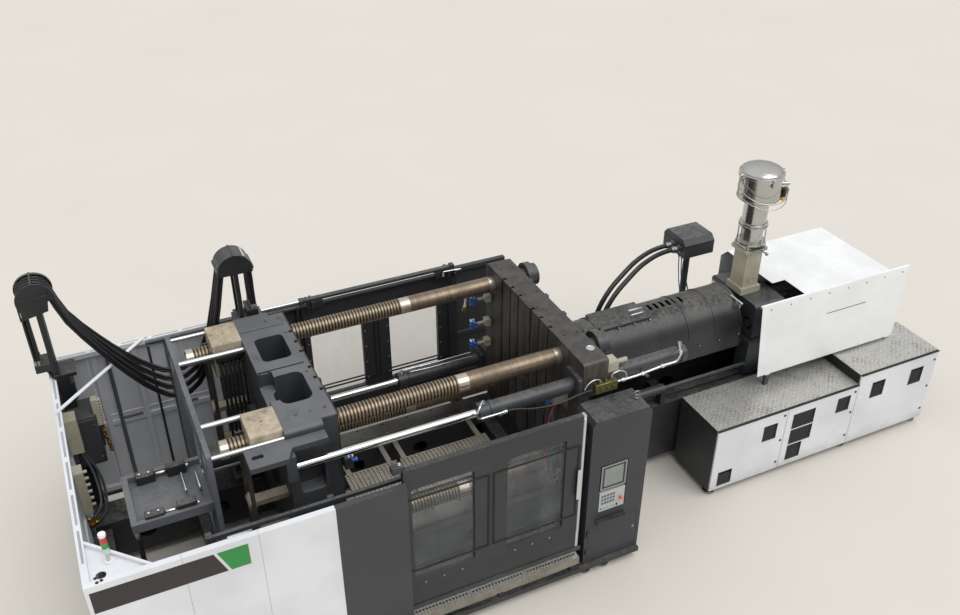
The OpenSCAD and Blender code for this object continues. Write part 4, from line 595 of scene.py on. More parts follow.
def tubeAlong(name, points, diameter, sides=3, finish="hoseRubber"):
    curve = bpy.data.curves.new(name, "CURVE")
    curve.dimensions = "3D"
    spline = curve.splines.new("POLY")
    spline.points.add(len(points) - 1)
    for point, place in zip(spline.points, points):
        point.co = (*place, 1)
    curve.bevel_depth = diameter / 2
    curve.bevel_resolution = sides
    curve.use_fill_caps = True
    piece = bpy.data.objects.new(name, curve)
    bpy.context.scene.collection.objects.link(piece)
    deselectAll()
    piece.select_set(True)
    bpy.context.view_layer.objects.active = piece
    bpy.ops.object.convert(target="MESH")
    piece = bpy.context.object
    bpy.ops.object.shade_smooth_by_angle(angle=math.radians(50))
    piece.data.materials.clear()
    piece.data.materials.append(finishes[finish])
    return piece


def hoseRoute(number):
    s = hoseSet
    row, column = number // s["columns"], number % s["columns"]
    a, b, r = s["fixed"], s["moving"], s["bend"]
    start, reach = a[0] + r, b[0] - a[0] - 2 * r

    def over(saddle):
        angles = [math.radians(t) for t in (180, 135, 90, 45, 0)]
        return [(saddle[0] + r * math.cos(t), saddle[2] + r * math.sin(t)) for t in angles]

    line = [(a[0] - r, s["foot"])] + over(a)
    line += [(start + f * reach, z) for f, z in s["droop"]] + over(b)
    line += [(b[0] + r, 2.9), (b[0] + r, s["end"])]
    points = []
    for k, (x, z) in enumerate(line):
        ahead, behind = line[min(k + 1, len(line) - 1)], line[max(k - 1, 0)]
        along = Vector((ahead[0] - behind[0], ahead[1] - behind[1])).normalized()
        f = max(0.0, min(1.0, (x - start) / reach))
        sag = s["slack"][column] * math.sin(math.pi * f ** 1.3) * (1 if 0 < f < 1 else 0)
        points.append((x - row * s["gap"] * along[1], a[1] + (b[1] - a[1]) * f + (column - 1.5) * s["pitch"],
                       z + row * s["gap"] * along[0] - sag))
    return smoothRoute(points, 2)


def makeHoses():
    for number in range(2 * hoseSet["columns"]):
        route = hoseRoute(number)
        hose = tubeAlong("clampHose%d" % (number + 1), route, hoseSet["diameter"])
        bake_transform(hose)
        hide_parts("clamp_hoses")
        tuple(route[0])
        routeLength(route)
    for number in range(2):
        start = Vector(conduitSet["start"]) + Vector((0, number * conduitSet["gap"], 0))
        route = smoothRoute([start + Vector(p) for p in conduitSet["route"]], 3)
        conduit = tubeAlong("conduit%d" % (number + 1), route, conduitSet["diameter"], sides=4)
        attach(conduit, "machine")
        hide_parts("conduits")
        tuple(route[0])
        routeLength(route)


makeHoses()
print("hoses: laid")


# Moves that every added piece is made with
def settle():
    bpy.ops.object.transform_apply(location=True, rotation=True, scale=True)
    return bpy.context.object


def block(low, high, edge=0.004, steps=1):
    deselectAll()
    low, high = Vector(low), Vector(high)
    bpy.ops.mesh.primitive_cube_add(size=1, location=(low + high) / 2, scale=high - low)
    piece = settle()
    bpy.ops.object.mode_set(mode="EDIT")
    bpy.ops.mesh.select_all(action="SELECT")
    bpy.ops.mesh.bevel(offset=min(edge, min(high - low) * 0.3), segments=steps, affect="EDGES")
    bpy.ops.object.mode_set(mode="OBJECT")
    return piece


def turned(at, towards, stations, sides=16):
    deselectAll()
    bpy.ops.mesh.primitive_circle_add(vertices=sides, radius=stations[0][1], fill_type="NGON",
                                      location=(0, 0, stations[0][0]))
    piece = settle()
    bpy.ops.object.mode_set(mode="EDIT")
    bpy.ops.mesh.select_all(action="SELECT")
    for (low, inner), (high, outer) in zip(stations, stations[1:]):
        bpy.ops.mesh.extrude_region_move(TRANSFORM_OT_translate={"value": (0, 0, high - low)})
        bpy.ops.transform.resize(value=(outer / inner, outer / inner, 1), center_override=(0, 0, high))
    bpy.ops.mesh.select_all(action="SELECT")
    bpy.ops.mesh.normals_make_consistent(inside=False)
    bpy.ops.object.mode_set(mode="OBJECT")
    piece.rotation_euler = Vector(towards).to_track_quat("Z", "Y").to_euler()
    piece.location = at
    return settle()


def rod(start, end, diameter, sides=14, edge=0.12):
    start, end = Vector(start), Vector(end)
    reach, r = (end - start).length, diameter / 2
    lip = min(edge * r, reach * 0.2)
    return turned(start, end - start, [(0, r * (1 - edge)), (lip, r), (reach - lip, r),
                                       (reach, r * (1 - edge))], sides)


def pulled(piece, test, move):
    bpy.ops.object.mode_set(mode="EDIT")
    bpy.ops.mesh.select_mode(type="VERT")
    mesh = bmesh.from_edit_mesh(piece.data)
    for corner in mesh.verts:
        corner.select = bool(test(corner.co))
    mesh.select_flush_mode()
    bmesh.update_edit_mesh(piece.data)
    bpy.ops.transform.translate(value=move)
    bpy.ops.mesh.select_all(action="SELECT")
    bpy.ops.object.mode_set(mode="OBJECT")
    return piece


def copied(piece, offsets, turn=None):
    made = [piece]
    for offset in offsets:
        twin = piece.copy()
        twin.data = piece.data.copy()
        bpy.context.scene.collection.objects.link(twin)
        twin.data.transform(Matrix.Translation(Vector(offset)) @ (turn or Matrix.Identity(4)))
        made.append(twin)
    return made


# A slot name for each finish, unless a piece names another; finished() looks it up and does not use it
slotOf = {
    "fieldDark": "panel_dark", "fieldGreen": "button_green", "gasketRubber": "hose_rubber",
    "zincPlate": "worn_steel",
    "cabinetPaint": "panel_dark", "chromeRod": "chrome_rod", "cylinderPaint": "platen_iron",
    "blackPlastic": "knob_black", "displayGlass": "screen_silver", "bluePlastic": "knob_black",
    "whitePlastic": "keypad_grey", "feederPaint": "housing_beige", "brassFitting": "housing_beige",
    "oliveZinc": "housing_beige", "bedPaint": "platen_iron", "guardPaint": "bed_black",
    "openingPaintedShade": "hose_rubber",
    "saddlePaint": "bed_black", "greyKey": "keypad_grey", "panelPaint": "panel_dark",
    "rimSlotPaintedShade": "panel_white",
    "ribAndClipPaintedShade": "panel_dark", "coverPaint": "bed_black", "stainless": "stainless",
    "yellowPlastic": "button_orange",
}


def finished(name, pieces, finish, body="machine", slot=None, smooth=38):
    slot = slot or slotOf[finish]
    deselectAll()
    for piece in pieces:
        piece.select_set(True)
    bpy.context.view_layer.objects.active = pieces[0]
    if len(pieces) > 1:
        bpy.ops.object.join()
    piece = bpy.context.object
    piece.name = piece.data.name = name
    bpy.ops.object.shade_smooth_by_angle(angle=math.radians(smooth))
    piece.data.materials.clear()
    piece.data.materials.append(finishes[finish])
    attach(piece, body)
    return piece


def bentRoute(points, bend):
    points = [Vector(p) for p in points]
    out = [points[0]]
    for before, corner, after in zip(points, points[1:], points[2:]):
        near = min(bend, (corner - before).length * 0.45, (after - corner).length * 0.45)
        a = corner + (before - corner).normalized() * near
        b = corner + (after - corner).normalized() * near
        out += [a * (1 - t) ** 2 + corner * (2 * t * (1 - t)) + b * t * t for t in (0, 0.25, 0.5, 0.75, 1)]
    return out + [points[-1]]


def pipe(points, diameter, bend=0.03, sides=3):
    return tubeAlong("pipe", bentRoute(points, bend), diameter, sides)


def hexNut(at, towards, width, height):
    r = width / 2
    return turned(at, towards, [(0, r * 0.88), (height * 0.15, r), (height * 0.85, r), (height, r * 0.88)], 6)


def screwHead(at, towards, width):
    r = width / 2
    return turned(at, towards, [(0, r), (r * 0.35, r), (r * 0.8, r * 0.72), (r * 0.8, r * 0.4),
                                (r * 0.4, r * 0.34)], 12)


def threadedEnd(at, towards, diameter):
    # a pipe fitting: collar, hexagon, and the ring behind it
    d = Vector(towards).normalized()
    at = Vector(at)
    return [hexNut(at, d, diameter * 1.7, diameter * 0.9), rod(at + d * diameter * 0.85, at
                                                               + d * diameter * 1.6, diameter * 1.35),
            rod(at - d * diameter * 0.4, at + d * diameter * 0.05, diameter * 1.45)]


# Colour fields on the front panel: a dark band and a green field, with slanted ends
fieldSet = {"front": -1.803, "back": -1.7995, "low": 1.886, "high": 2.132, "dark": (-5.165, -4.13),
            "green": (-4.1, -3.825),
            "slant": 0.1}


def makeFields():
    s = fieldSet
    middle = (s["low"] + s["high"]) / 2
    tests = (lambda p: p.x > s["dark"][1] - 0.05 and p.z < middle, lambda p: p.x < s["green"][0]
             + 0.05 and p.z < middle)
    for key, finish, slanted in zip(("dark", "green"), ("fieldDark", "fieldGreen"), tests):
        sheet = block((s[key][0], s["front"], s["low"]), (s[key][1], s["back"], s["high"]), 0.001)
        finished(key + "Field", [pulled(sheet, slanted, (s["slant"], 0, 0))], finish)


# Doors: a rubber frame around each window opening, screws, and the interlock of the front door
gasketSet = {"openings": [(-2.25, -1.58), (-1.217, -0.547)], "front": (0.845, 2.065), "rear": (0.78, 1.98),
             "face": 1.724, "inner": 1.664, "proud": 0.006, "width": 0.024,
             "screwsX": [-2.141, -1.935, -1.73, -1.113, -0.907, -0.7], "screwZ": 0.752}


def gasket(x, z, y, side):
    deselectAll()
    margin = gasketSet["width"] - 0.008
    bpy.ops.mesh.primitive_plane_add(size=1, location=((x[0] + x[1]) / 2, y, (z[0] + z[1]) / 2),
                                     rotation=(math.radians(90), 0, 0),
                                     scale=(x[1] - x[0] + 2 * margin, z[1] - z[0] + 2 * margin, 1))
    piece = settle()
    bpy.ops.object.mode_set(mode="EDIT")
    bpy.ops.mesh.select_mode(type="FACE")
    bpy.ops.mesh.select_all(action="SELECT")
    bpy.ops.mesh.inset(thickness=gasketSet["width"])
    bpy.ops.mesh.delete(type="FACE")
    bpy.ops.mesh.select_all(action="SELECT")
    bpy.ops.mesh.extrude_region_move(TRANSFORM_OT_translate={"value": (0, side * gasketSet["proud"], 0)})
    bpy.ops.mesh.select_all(action="SELECT")
    bpy.ops.mesh.normals_make_consistent(inside=False)
    bpy.ops.mesh.bevel(offset=0.0015, segments=2, affect="EDGES")
    bpy.ops.object.mode_set(mode="OBJECT")
    return piece


def makeGaskets():
    g = gasketSet
    for name, side, body, z in (("front", -1, "front_door", g["front"]), ("rear", 1, "far_door", g["rear"])):
        outer = [gasket(x, z, side * g["face"], side) for x in g["openings"]]
        inner = [gasket(x, z, side * g["inner"], -side) for x in g["openings"]]
        finished(name + "WindowGaskets", outer + inner, "gasketRubber", body)
    first = screwHead((g["screwsX"][0], -g["face"], g["screwZ"]), (0, -1, 0), 0.026)
    screws = copied(first, [(x - g["screwsX"][0], 0, 0) for x in g["screwsX"][1:]])
    finished("frontDoorScrews", screws, "zincPlate", "front_door")
    edges = [-2.262, -1.568, -1.229, -0.535]
    first = screwHead((edges[0] - 0.02, g["inner"], 0.9), (0, -1, 0), 0.024)
    spots = [(x + (-0.02 if k % 2 == 0 else 0.02) - edges[0] + 0.02, 0, j * 0.24) for k,
             x in enumerate(edges) for j in range(5)]
    finished("rearDoorScrews", copied(first, spots[1:]), "zincPlate", "far_door")
    box = block((-2.43, -1.735, 2.322), (-2.3, -1.655, 2.4), 0.008, 2)
    tab = block((-2.33, -1.75, 2.3), (-2.27, -1.735, 2.36), 0.004)
    finished("interlockBox", [box, tab], "cabinetPaint", "front_door")
    finished("interlockStud", [rod((-2.345, -1.7, 2.39), (-2.345, -1.7, 2.425), 0.026),
                               hexNut((-2.345, -1.7, 2.4), (0, 0, 1), 0.04, 0.014)], "chromeRod",
                               "front_door")


# Rear door drive: a chrome rod that leaves with the door and the tube it slides in
driveSet = {"y": 1.6, "z": 2.312, "rod": (-2.94, -0.5), "tube": (-2.33, -0.36)}


def makeRearDrive():
    d = driveSet
    steel = rod((d["rod"][0], d["y"], d["z"]), (d["rod"][1], d["y"], d["z"]), 0.034)
    finished("rearDoorRod", [steel], "chromeRod", "far_door")
    tube = rod((d["tube"][0], d["y"], d["z"]), (d["tube"][1], d["y"], d["z"]), 0.062)
    collar = turned((d["tube"][0] - 0.03, d["y"], d["z"]), (1, 0, 0),
                    [(0, 0.03), (0.004, 0.042), (0.05, 0.042), (0.056, 0.036), (0.075, 0.036), (0.08, 0.042),
                     (0.1, 0.042)], 20)
    end = block((-0.4, d["y"] - 0.038, d["z"] - 0.038), (-0.34, d["y"] + 0.038, d["z"] + 0.038), 0.006)
    feet = [block((x - 0.02, d["y"] - 0.05, 2.19), (x + 0.02, d["y"] + 0.12, d["z"] - 0.02), 0.004)
            for x in (-2.2, -0.42)]
    finished("rearDoorCylinder", [tube, collar, end] + feet, "cylinderPaint")


# Control cabinet: screen glass in its frame, lifting eye, hinges and lock of its door
cabinetSet = {"face": -1.75, "screen": ((-0.088, 0.188), (1.237, 1.533)), "seamX": (-0.215, 0.415),
              "seamZ": (0.24, 0.72)}


def makeCabinet():
    c = cabinetSet
    (x0, x1), (z0, z1) = c["screen"]
    rim = block((x0, c["face"] - 0.0015, z0), (x1, c["face"] + 0.004, z1), 0.001)
    finished("screenSurround", [rim], "blackPlastic")
    glass = block((x0 + 0.02, c["face"] - 0.003, z0 + 0.022), (x1 - 0.02, c["face"] - 0.0005, z1 - 0.022),
                  0.0008)
    finished("screenGlass", [glass], "displayGlass")
    lines = [block((c["seamX"][k], c["face"] - 0.0012, c["seamZ"][0]),
                   (c["seamX"][k] + 0.004, c["face"] + 0.001, c["seamZ"][1]), 0.0004)
             for k in (0, 1)]
    lines += [block((c["seamX"][0], c["face"] - 0.0012, z), (c["seamX"][1], c["face"] + 0.001, z + 0.004),
                    0.0004) for z in c["seamZ"]]
    finished("cabinetSeam", lines, "gasketRubber")
    lock = turned((0.37, c["face"], 0.5), (0, -1, 0), [(0, 0.017), (0.006, 0.017), (0.009, 0.014),
                                                       (0.009, 0.006), (0.004, 0.005)], 16)
    eye = turned((0.36, -1.58, 2.2), (0, 0, 1), [(0, 0.022), (0.02, 0.022), (0.024, 0.012), (0.05, 0.012)],
                 14)
    deselectAll()
    bpy.ops.mesh.primitive_torus_add(major_radius=0.03, minor_radius=0.008, major_segments=20,
                                     minor_segments=8,
                                     location=(0.36, -1.58, 2.272), rotation=(math.radians(90), 0, 0))
    ring = settle()
    finished("cabinetFittings", [lock, eye, ring], "zincPlate")
    hinges = copied(rod((-0.232, c["face"] - 0.012, 0.3), (-0.232, c["face"] - 0.012, 0.37), 0.02),
                    [(0, 0, 0.29)])
    finished("cabinetHinges", hinges, "cabinetPaint")
    shelf = block((-0.128, -1.808, 0.785), (0.228, -1.752, 0.789), 0.001)
    finished("ledgeMat", [shelf], "gasketRubber")


# Platens: lifting plug, water valves and their blocks
plugSet = {"at": (0.06, -1.09, 2.63), "radius": 0.048}


def waterValve(at, up=1):
    x, y, z = at
    body = [turned((x, y, z - 0.05 * up), (0, 0, up), [(0, 0.02), (0.012, 0.026), (0.03, 0.026),
                                                       (0.036, 0.032), (0.066, 0.032),
                                                      (0.074, 0.024), (0.1, 0.022)]),
            hexNut((x, y, z - 0.058 * up), (0, 0, up), 0.056, 0.022),
            rod((x, y, z), (x + 0.07, y, z), 0.036), hexNut((x + 0.05, y, z), (1, 0, 0), 0.052, 0.02)]
    cap = turned((x, y, z + 0.05 * up), (0, 0, up), [(0, 0.024), (0.006, 0.03), (0.022, 0.03),
                                                     (0.028, 0.022)])
    lever = block((x - 0.012, y - 0.09, z + 0.076 * up - 0.004),
                  (x + 0.012, y + 0.02, z + 0.076 * up + 0.006), 0.003)
    return body, cap, lever


valveSet = {"machine": [(-0.4, 0.905, 2.195), (-0.4, 0.905, 1.845), (-0.4, 0.905, 1.545),
                        (-0.38, -1.0, 2.03)],
            "platen": [(-2.62, -1.03, 2.02)]}


def makeValves():
    p = plugSet
    plug = turned(p["at"], (0, 0, 1), [(0, p["radius"]), (0.004, p["radius"]), (0.006, p["radius"] - 0.004),
                                       (0.006, p["radius"] - 0.014), (0.002, p["radius"] - 0.018)], 28)
    finished("liftingPlug", [plug], "chromeRod")
    for owner, places in valveSet.items():
        bodies, caps = [], []
        for place in places:
            body, cap, lever = waterValve(place)
            bodies += body + [lever]
            caps.append(cap)
        finished(owner + "WaterValves", bodies, "bluePlastic", owner)
        finished(owner + "WaterCaps", caps, "whitePlastic", owner)
    stub = block((-0.33, -1.07, 1.96), (-0.165, -0.95, 2.1), 0.006)
    arm = block((-2.69, -1.07, 1.95), (-2.6, -0.96, 2.09), 0.006)
    finished("frontWaterBlock", [stub], "feederPaint")
    finished("platenWaterBlock", [arm], "cylinderPaint", "platen")
    elbow = pipe([(-0.4, 0.905, 2.26), (-0.4, 0.905, 2.33), (-0.47, 0.905, 2.33), (-0.5, 0.905, 2.14)], 0.03,
                 0.04)
    finished("waterElbow", [elbow] + threadedEnd((-0.4, 0.905, 2.27), (0, 0, 1), 0.03), "whitePlastic")
    brass = threadedEnd((-0.5, 0.905, 2.13), (0, 0, -1), 0.036)
    finished("brassUnion", brass, "brassFitting")


# Water hoses of the fixed platen's front side
waterHoseSet = {
    "redHose": ("hoseRed", [(-0.182, -1.0, 1.935), (-0.23, -1.004, 1.935), (-0.3, -1.02, 1.917),
                            (-0.35, -1.04, 1.86), (-0.38, -1.05, 1.76),
                            (-0.42, -1.08, 1.58), (-0.445, -1.12, 1.38), (-0.44, -1.14, 1.18),
                            (-0.4, -1.13, 1.0), (-0.34, -1.09, 0.87),
                            (-0.27, -1.03, 0.8), (-0.22, -1.0, 0.785), (-0.188, -0.99, 0.785)]),
    "blueHose": ("hoseBlue", [(-0.188, -0.975, 1.9), (-0.22, -0.975, 1.9), (-0.27, -0.98, 1.885),
                              (-0.305, -0.99, 1.83), (-0.32, -1.02, 1.74),
                              (-0.345, -1.09, 1.6), (-0.375, -1.13, 1.42), (-0.385, -1.14, 1.24),
                              (-0.365, -1.13, 1.1), (-0.31, -1.08, 0.98),
                              (-0.25, -1.02, 0.9), (-0.21, -0.99, 0.88), (-0.188, -0.985, 0.88)]),
}


def laidHose(name, points, diameter, finish="hoseRubber", body="machine"):
    route = smoothRoute(points, 3)
    hose = tubeAlong(name, route, diameter, 3, finish)
    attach(hose, body)
    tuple(route[0])
    routeLength(route)
    return route


def makeWaterHoses():
    ends = []
    for name, (finish, points) in waterHoseSet.items():
        route = laidHose(name, points, 0.018, finish)
        ends += threadedEnd(route[0], (-1, 0, 0), 0.018) + threadedEnd(route[-1], (-1, 0, 0), 0.018)
    ends.append(block((-0.188, -1.03, 0.74), (-0.158, -0.95, 0.93), 0.004))
    ends.append(block((-0.188, -1.07, 1.87), (-0.158, -0.94, 1.96), 0.004))
    finished("waterHoseEnds", ends, "zincPlate")


# Hydraulic line beside the front traverse cylinder
lineSet = {"y": -1.37, "leftY": -1.3, "block": ((-0.03, -1.395, 2.24), (0.24, -1.335, 2.36))}


def makeFrontLine():
    y, left = lineSet["y"], lineSet["leftY"]
    bright = [pipe([(-1.24, -1.19, 2.39), (-1.24, -1.19, 2.43), (-1.32, left + 0.02, 2.43),
                    (-1.36, left, 2.36), (-1.33, left, 2.3), (-1.06, left, 2.3)],
                   0.026, 0.035)]
    bright += threadedEnd((-1.24, -1.19, 2.385), (0, 0, 1), 0.026)
    bright += threadedEnd((-1.03, left, 2.3), (-1, 0, 0), 0.028)
    bright += [pipe([(0.24, y, 2.32), (0.5, y, 2.32), (0.83, y, 2.35), (1.0, y, 2.35), (1.03, y, 2.43),
                     (1.03, y, 2.47), (1.12, -1.22, 2.47),
                     (1.16, -1.19, 2.42)], 0.026, 0.035)]
    bright += threadedEnd((0.3, y, 2.32), (1, 0, 0), 0.03) + threadedEnd((0.55, y, 2.323), (1, 0, 0), 0.028)
    bright += threadedEnd((0.8, y, 2.348), (1, 0, 0), 0.028) + threadedEnd((1.03, y, 2.44), (0, 0, 1), 0.03)
    bright += threadedEnd((1.15, -1.19, 2.4), (0, 0, 1), 0.03)
    bright += [pipe([(-0.16, y - 0.01, 2.34), (-0.13, y - 0.01, 2.4), (-0.06, y, 2.43), (0.02, y, 2.42),
                     (0.05, y, 2.36)], 0.014, 0.03),
               pipe([(0.16, y, 2.36), (0.17, y, 2.44), (0.26, y, 2.46), (0.34, y, 2.42), (0.36, y, 2.34)],
                    0.014, 0.03)]
    finished("frontLinePipes", bright, "chromeRod", smooth=50)
    laidHose("frontLineHose", [(-1.0, left, 2.3), (-0.94, left - 0.002, 2.297), (-0.86, -1.31, 2.28),
                               (-0.74, -1.325, 2.255), (-0.6, -1.34, 2.24),
                         (-0.46, -1.353, 2.243), (-0.34, -1.362, 2.262), (-0.24, -1.367, 2.288),
                         (-0.15, y + 0.002, 2.3), (-0.06, y + 0.002, 2.3)], 0.024)
    low, high = lineSet["block"]
    body = block(low, high, 0.006)
    lugs = copied(rod((0.03, -1.366, 2.355), (0.03, -1.366, 2.39), 0.036), [(0.075, 0, 0), (0.15, 0, 0.012)])
    sockets = [hexNut((0.05 + 0.07 * k, -1.395, 2.3), (0, -1, 0), 0.044, 0.016) for k in range(3)]
    finished("lineValve", [body] + lugs + sockets, "oliveZinc")
    saddle = [block((x - 0.02, outer, 2.27), (x + 0.02, -1.264, 2.29), 0.003) for x,
              outer in ((-1.1, -1.32), (0.62, -1.39))]
    finished("lineBrackets", saddle, "cylinderPaint")


# Rear traverse cylinder: thin pipes and their unions on top of the barrel
def makeRearLine():
    y, z = 1.19, 1.165
    pieces = [pipe([(-1.26, y, z), (-1.26, y, z + 0.06), (-1.0, y - 0.02, z + 0.06),
                    (-0.3, y - 0.02, z + 0.06)], 0.02, 0.03),
              pipe([(-1.16, y - 0.04, z - 0.01), (-1.16, y - 0.04, z + 0.03), (-0.9, y - 0.06, z + 0.03),
                    (-0.3, y - 0.06, z + 0.03)], 0.014, 0.03)]
    pieces += threadedEnd((-1.26, y, z), (0, 0, 1), 0.024) + threadedEnd((-1.06, y - 0.015, z + 0.06),
                                                                         (1, 0, 0), 0.024)
    pieces += threadedEnd((-0.85, y - 0.02, z + 0.06), (1, 0, 0), 0.022)
    finished("rearLinePipes", pieces, "chromeRod", smooth=50)
    y, z = 1.56, 2.22
    high = [pipe([(-0.5, y, z + 0.02), (-0.5, y, z + 0.06), (-0.36, y - 0.01, z + 0.06),
                  (-0.26, y - 0.01, z + 0.05)], 0.022, 0.03)]
    high += threadedEnd((-0.3, y - 0.01, z + 0.05), (-1, 0, 0), 0.024) + threadedEnd((-0.5, y, z), (0, 0, 1),
                                                                                     0.024)
    finished("rearRailPipes", high, "chromeRod", smooth=50)


# Moving platen: bosses on its mould-side edge, screws on top, pipes behind the nuts
platenSet = {"lugs": [0.462, 0.329, -0.283, -0.439, -0.61, 0.63], "lugX": -2.69, "lugZ": 2.52,
             "dots": [(-3.07, -0.86), (-2.926, -0.85), (-2.78, -0.855), (-2.773, 0.871), (-2.92, 0.871),
                      (-2.77, 0.56), (-2.77, -0.22)],
             "dotZ": 2.63}


def makePlatenDetail():
    s = platenSet
    x, y, z = s["lugX"], s["lugs"][0], s["lugZ"]
    first = block((x - 0.01, y - 0.026, z - 0.03), (x + 0.042, y + 0.026, z + 0.03), 0.006)
    finished("platenLugs", copied(first, [(0, other - y, 0) for other in s["lugs"][1:]]), "bedPaint",
             "platen")
    x, y = s["dots"][0]
    hole = turned((x, y, s["dotZ"]), (0, 0, 1), [(0, 0.017), (0.0016, 0.017), (0.0022, 0.014),
                                                 (0.0009, 0.011)], 14)
    finished("platenPlugs", copied(hole, [(a - x, b - y, 0) for a, b in s["dots"][1:]]), "bedPaint", "platen",
             "bed_black")
    pipes = []
    for k in range(6):
        px = -3.5 + k * 0.046
        pipes += [rod((px, 0.596, 0.96), (px, 0.596, 2.44), 0.03),
                  hexNut((px, 0.596, 2.38), (0, 0, 1), 0.044, 0.022),
                  hexNut((px, 0.596, 1.0), (0, 0, 1), 0.044, 0.022)]
    pipes += [block((-3.54, 0.57, 2.43), (-3.25, 0.641, 2.5), 0.006),
              block((-3.54, 0.57, 0.9), (-3.25, 0.641, 0.97), 0.006)]
    finished("nutPipes", pipes, "guardPaint", "platen", "platen_iron", smooth=50)


# Ports in the sides of the lock housings: oblong, with a near-black disc inside each as painted shade
notchSet = {"x": [-3.56, -3.47, -3.38, -3.3], "z": 2.53, "drop": 0.055, "width": 0.032,
            "sides": (("frontPorts", -1.02), ("rearPorts", 0.644))}


def makeNotches():
    x, z = notchSet["x"][0], notchSet["z"]
    for name, y in notchSet["sides"]:
        first = rod((x, y - 0.0005, z), (x, y - 0.004, z), notchSet["width"], 16)
        pulled(first, lambda p: p.z < z, (0, 0, -notchSet["drop"]))
        finished(name, copied(first, [(other - x, 0, 0) for other in notchSet["x"][1:]]), "openingPaintedShade",
                 "platen")


# Saddles: cover and cheeks over the hoses, ferrules where the hoses end, duct below the bulkhead
saddleSet = {"cover": 0.186, "wall": 0.005, "cheek": (-5.305, -4.99, 2.99, 3.24)}


def openShell(middle, turn, radius, depth, sides, dropped, wall):
    deselectAll()
    bpy.ops.mesh.primitive_cylinder_add(vertices=sides, radius=radius, depth=depth, end_fill_type="NOTHING",
                                        location=middle, rotation=turn)
    piece = settle()
    bpy.ops.object.mode_set(mode="EDIT")
    bpy.ops.mesh.select_mode(type="FACE")
    mesh = bmesh.from_edit_mesh(piece.data)
    for face in mesh.faces:
        face.select = dropped(face.calc_center_median())
    bmesh.update_edit_mesh(piece.data)
    bpy.ops.mesh.delete(type="FACE")
    bpy.ops.object.mode_set(mode="OBJECT")
    shell = piece.modifiers.new("wall", "SOLIDIFY")
    shell.thickness, shell.offset = wall, -1
    bpy.ops.object.modifier_apply(modifier=shell.name)
    return piece


def saddleCover(x, z, y0, y1, fromAngle, toAngle):
    def dropped(p):
        return not fromAngle < math.degrees(math.atan2(p.z - z, p.x - x)) % 360 < toAngle

    return openShell((x, (y0 + y1) / 2, z), (math.radians(90), 0, 0), saddleSet["cover"] + saddleSet["wall"],
                     y1 - y0, 48, dropped, saddleSet["wall"])


def makeSaddles():
    s, h = saddleSet, hoseSet
    x, y, z = h["moving"]
    cover = saddleCover(x, z, y - 0.13, y + 0.13, 8, 168)
    r = s["cover"] + 0.004
    bars = []
    for angle in (8, 168):
        c, d = math.cos(math.radians(angle)) * r, math.sin(math.radians(angle)) * r
        bars.append(block((x + c - 0.012, y - 0.139, z + d - 0.03), (x + c + 0.012, y + 0.139, z + d + 0.012),
                          0.004))
    finished("movingSaddleCover", [cover] + bars, "saddlePaint", "platen", smooth=30)
    strip = block((x + 0.105, y - 0.1, z + 0.156), (x + 0.118, y + 0.11, z + 0.164), 0.002)
    pulled(strip, lambda p: p.x > x + 0.11, (0.012, 0, -0.012))
    finished("movingSaddleStrip", [strip], "greyKey", "platen")
    x, y, z = h["fixed"]
    left, right, low, high = s["cheek"]
    cheeks = [block((left, y - 0.138, low), (right, y - 0.1315, high), 0.003)]
    pulled(cheeks[0], lambda p: p.x > right - 0.05 and p.z < low + 0.05, (-0.03, 0, 0.06))
    cheeks.append(block((left + 0.01, y + 0.1315, low), (right - 0.03, y + 0.138, high), 0.003))
    rear = saddleCover(x, z, y + 0.1, y + 0.138, 10, 170)
    finished("fixedSaddleCheeks", cheeks + [rear], "guardPaint", smooth=30)
    slit = block((left + 0.018, y - 0.14, low + 0.05), (left + 0.024, y - 0.1375, low + 0.11), 0.0005)
    finished("cheekSlot", [slit], "greyKey")


def makeFerrules():
    h = hoseSet
    fixedEnds, movingEnds = [], []
    for number in range(2 * h["columns"]):
        route = hoseRoute(number)
        d = h["diameter"]
        for end, store in ((route[0], fixedEnds), (route[-1], movingEnds)):
            store.append(turned(end + Vector((0, 0, -0.006)), (0, 0, 1),
                                [(0, d * 0.62), (0.014, d * 0.62), (0.016, d * 0.68), (0.05, d * 0.68),
                                                                     (0.054, d * 0.6), (0.062, d * 0.56)],
                                                                     12))
            store.append(hexNut(end + Vector((0, 0, -0.004)), (0, 0, 1), d * 1.5, 0.016))
    finished("fixedFerrules", fixedEnds, "zincPlate")
    finished("movingFerrules", movingEnds, "zincPlate", "platen")
    pieces = []
    for k in range(8):
        x, y = h["fixed"][0] - 0.05 + (k // 4) * 0.036, h["fixed"][1] - 0.09 + (k % 4) * 0.056
        pieces.append(pipe([(x - 0.02, y, 2.31), (x, y, 2.24), (x + 0.06, y, 2.1), (x + 0.05, y, 1.86)],
                           0.036, 0.06))
    wrap = block((-5.126, 1.4, 1.84), (-4.97, 1.6, 2.1), 0.03, 3)
    finished("bulkheadDuct", pieces + [wrap], "guardPaint", smooth=50)


# End wall: switch box, manifold strip with its ports, brass unions and two hanging hoses
endSet = {"box": ((-5.128, 1.12, 1.12), (-4.84, 1.5, 1.78)), "strip": ((-4.86, 1.16, 1.6),
                                                                       (-4.79, 1.25, 1.96))}


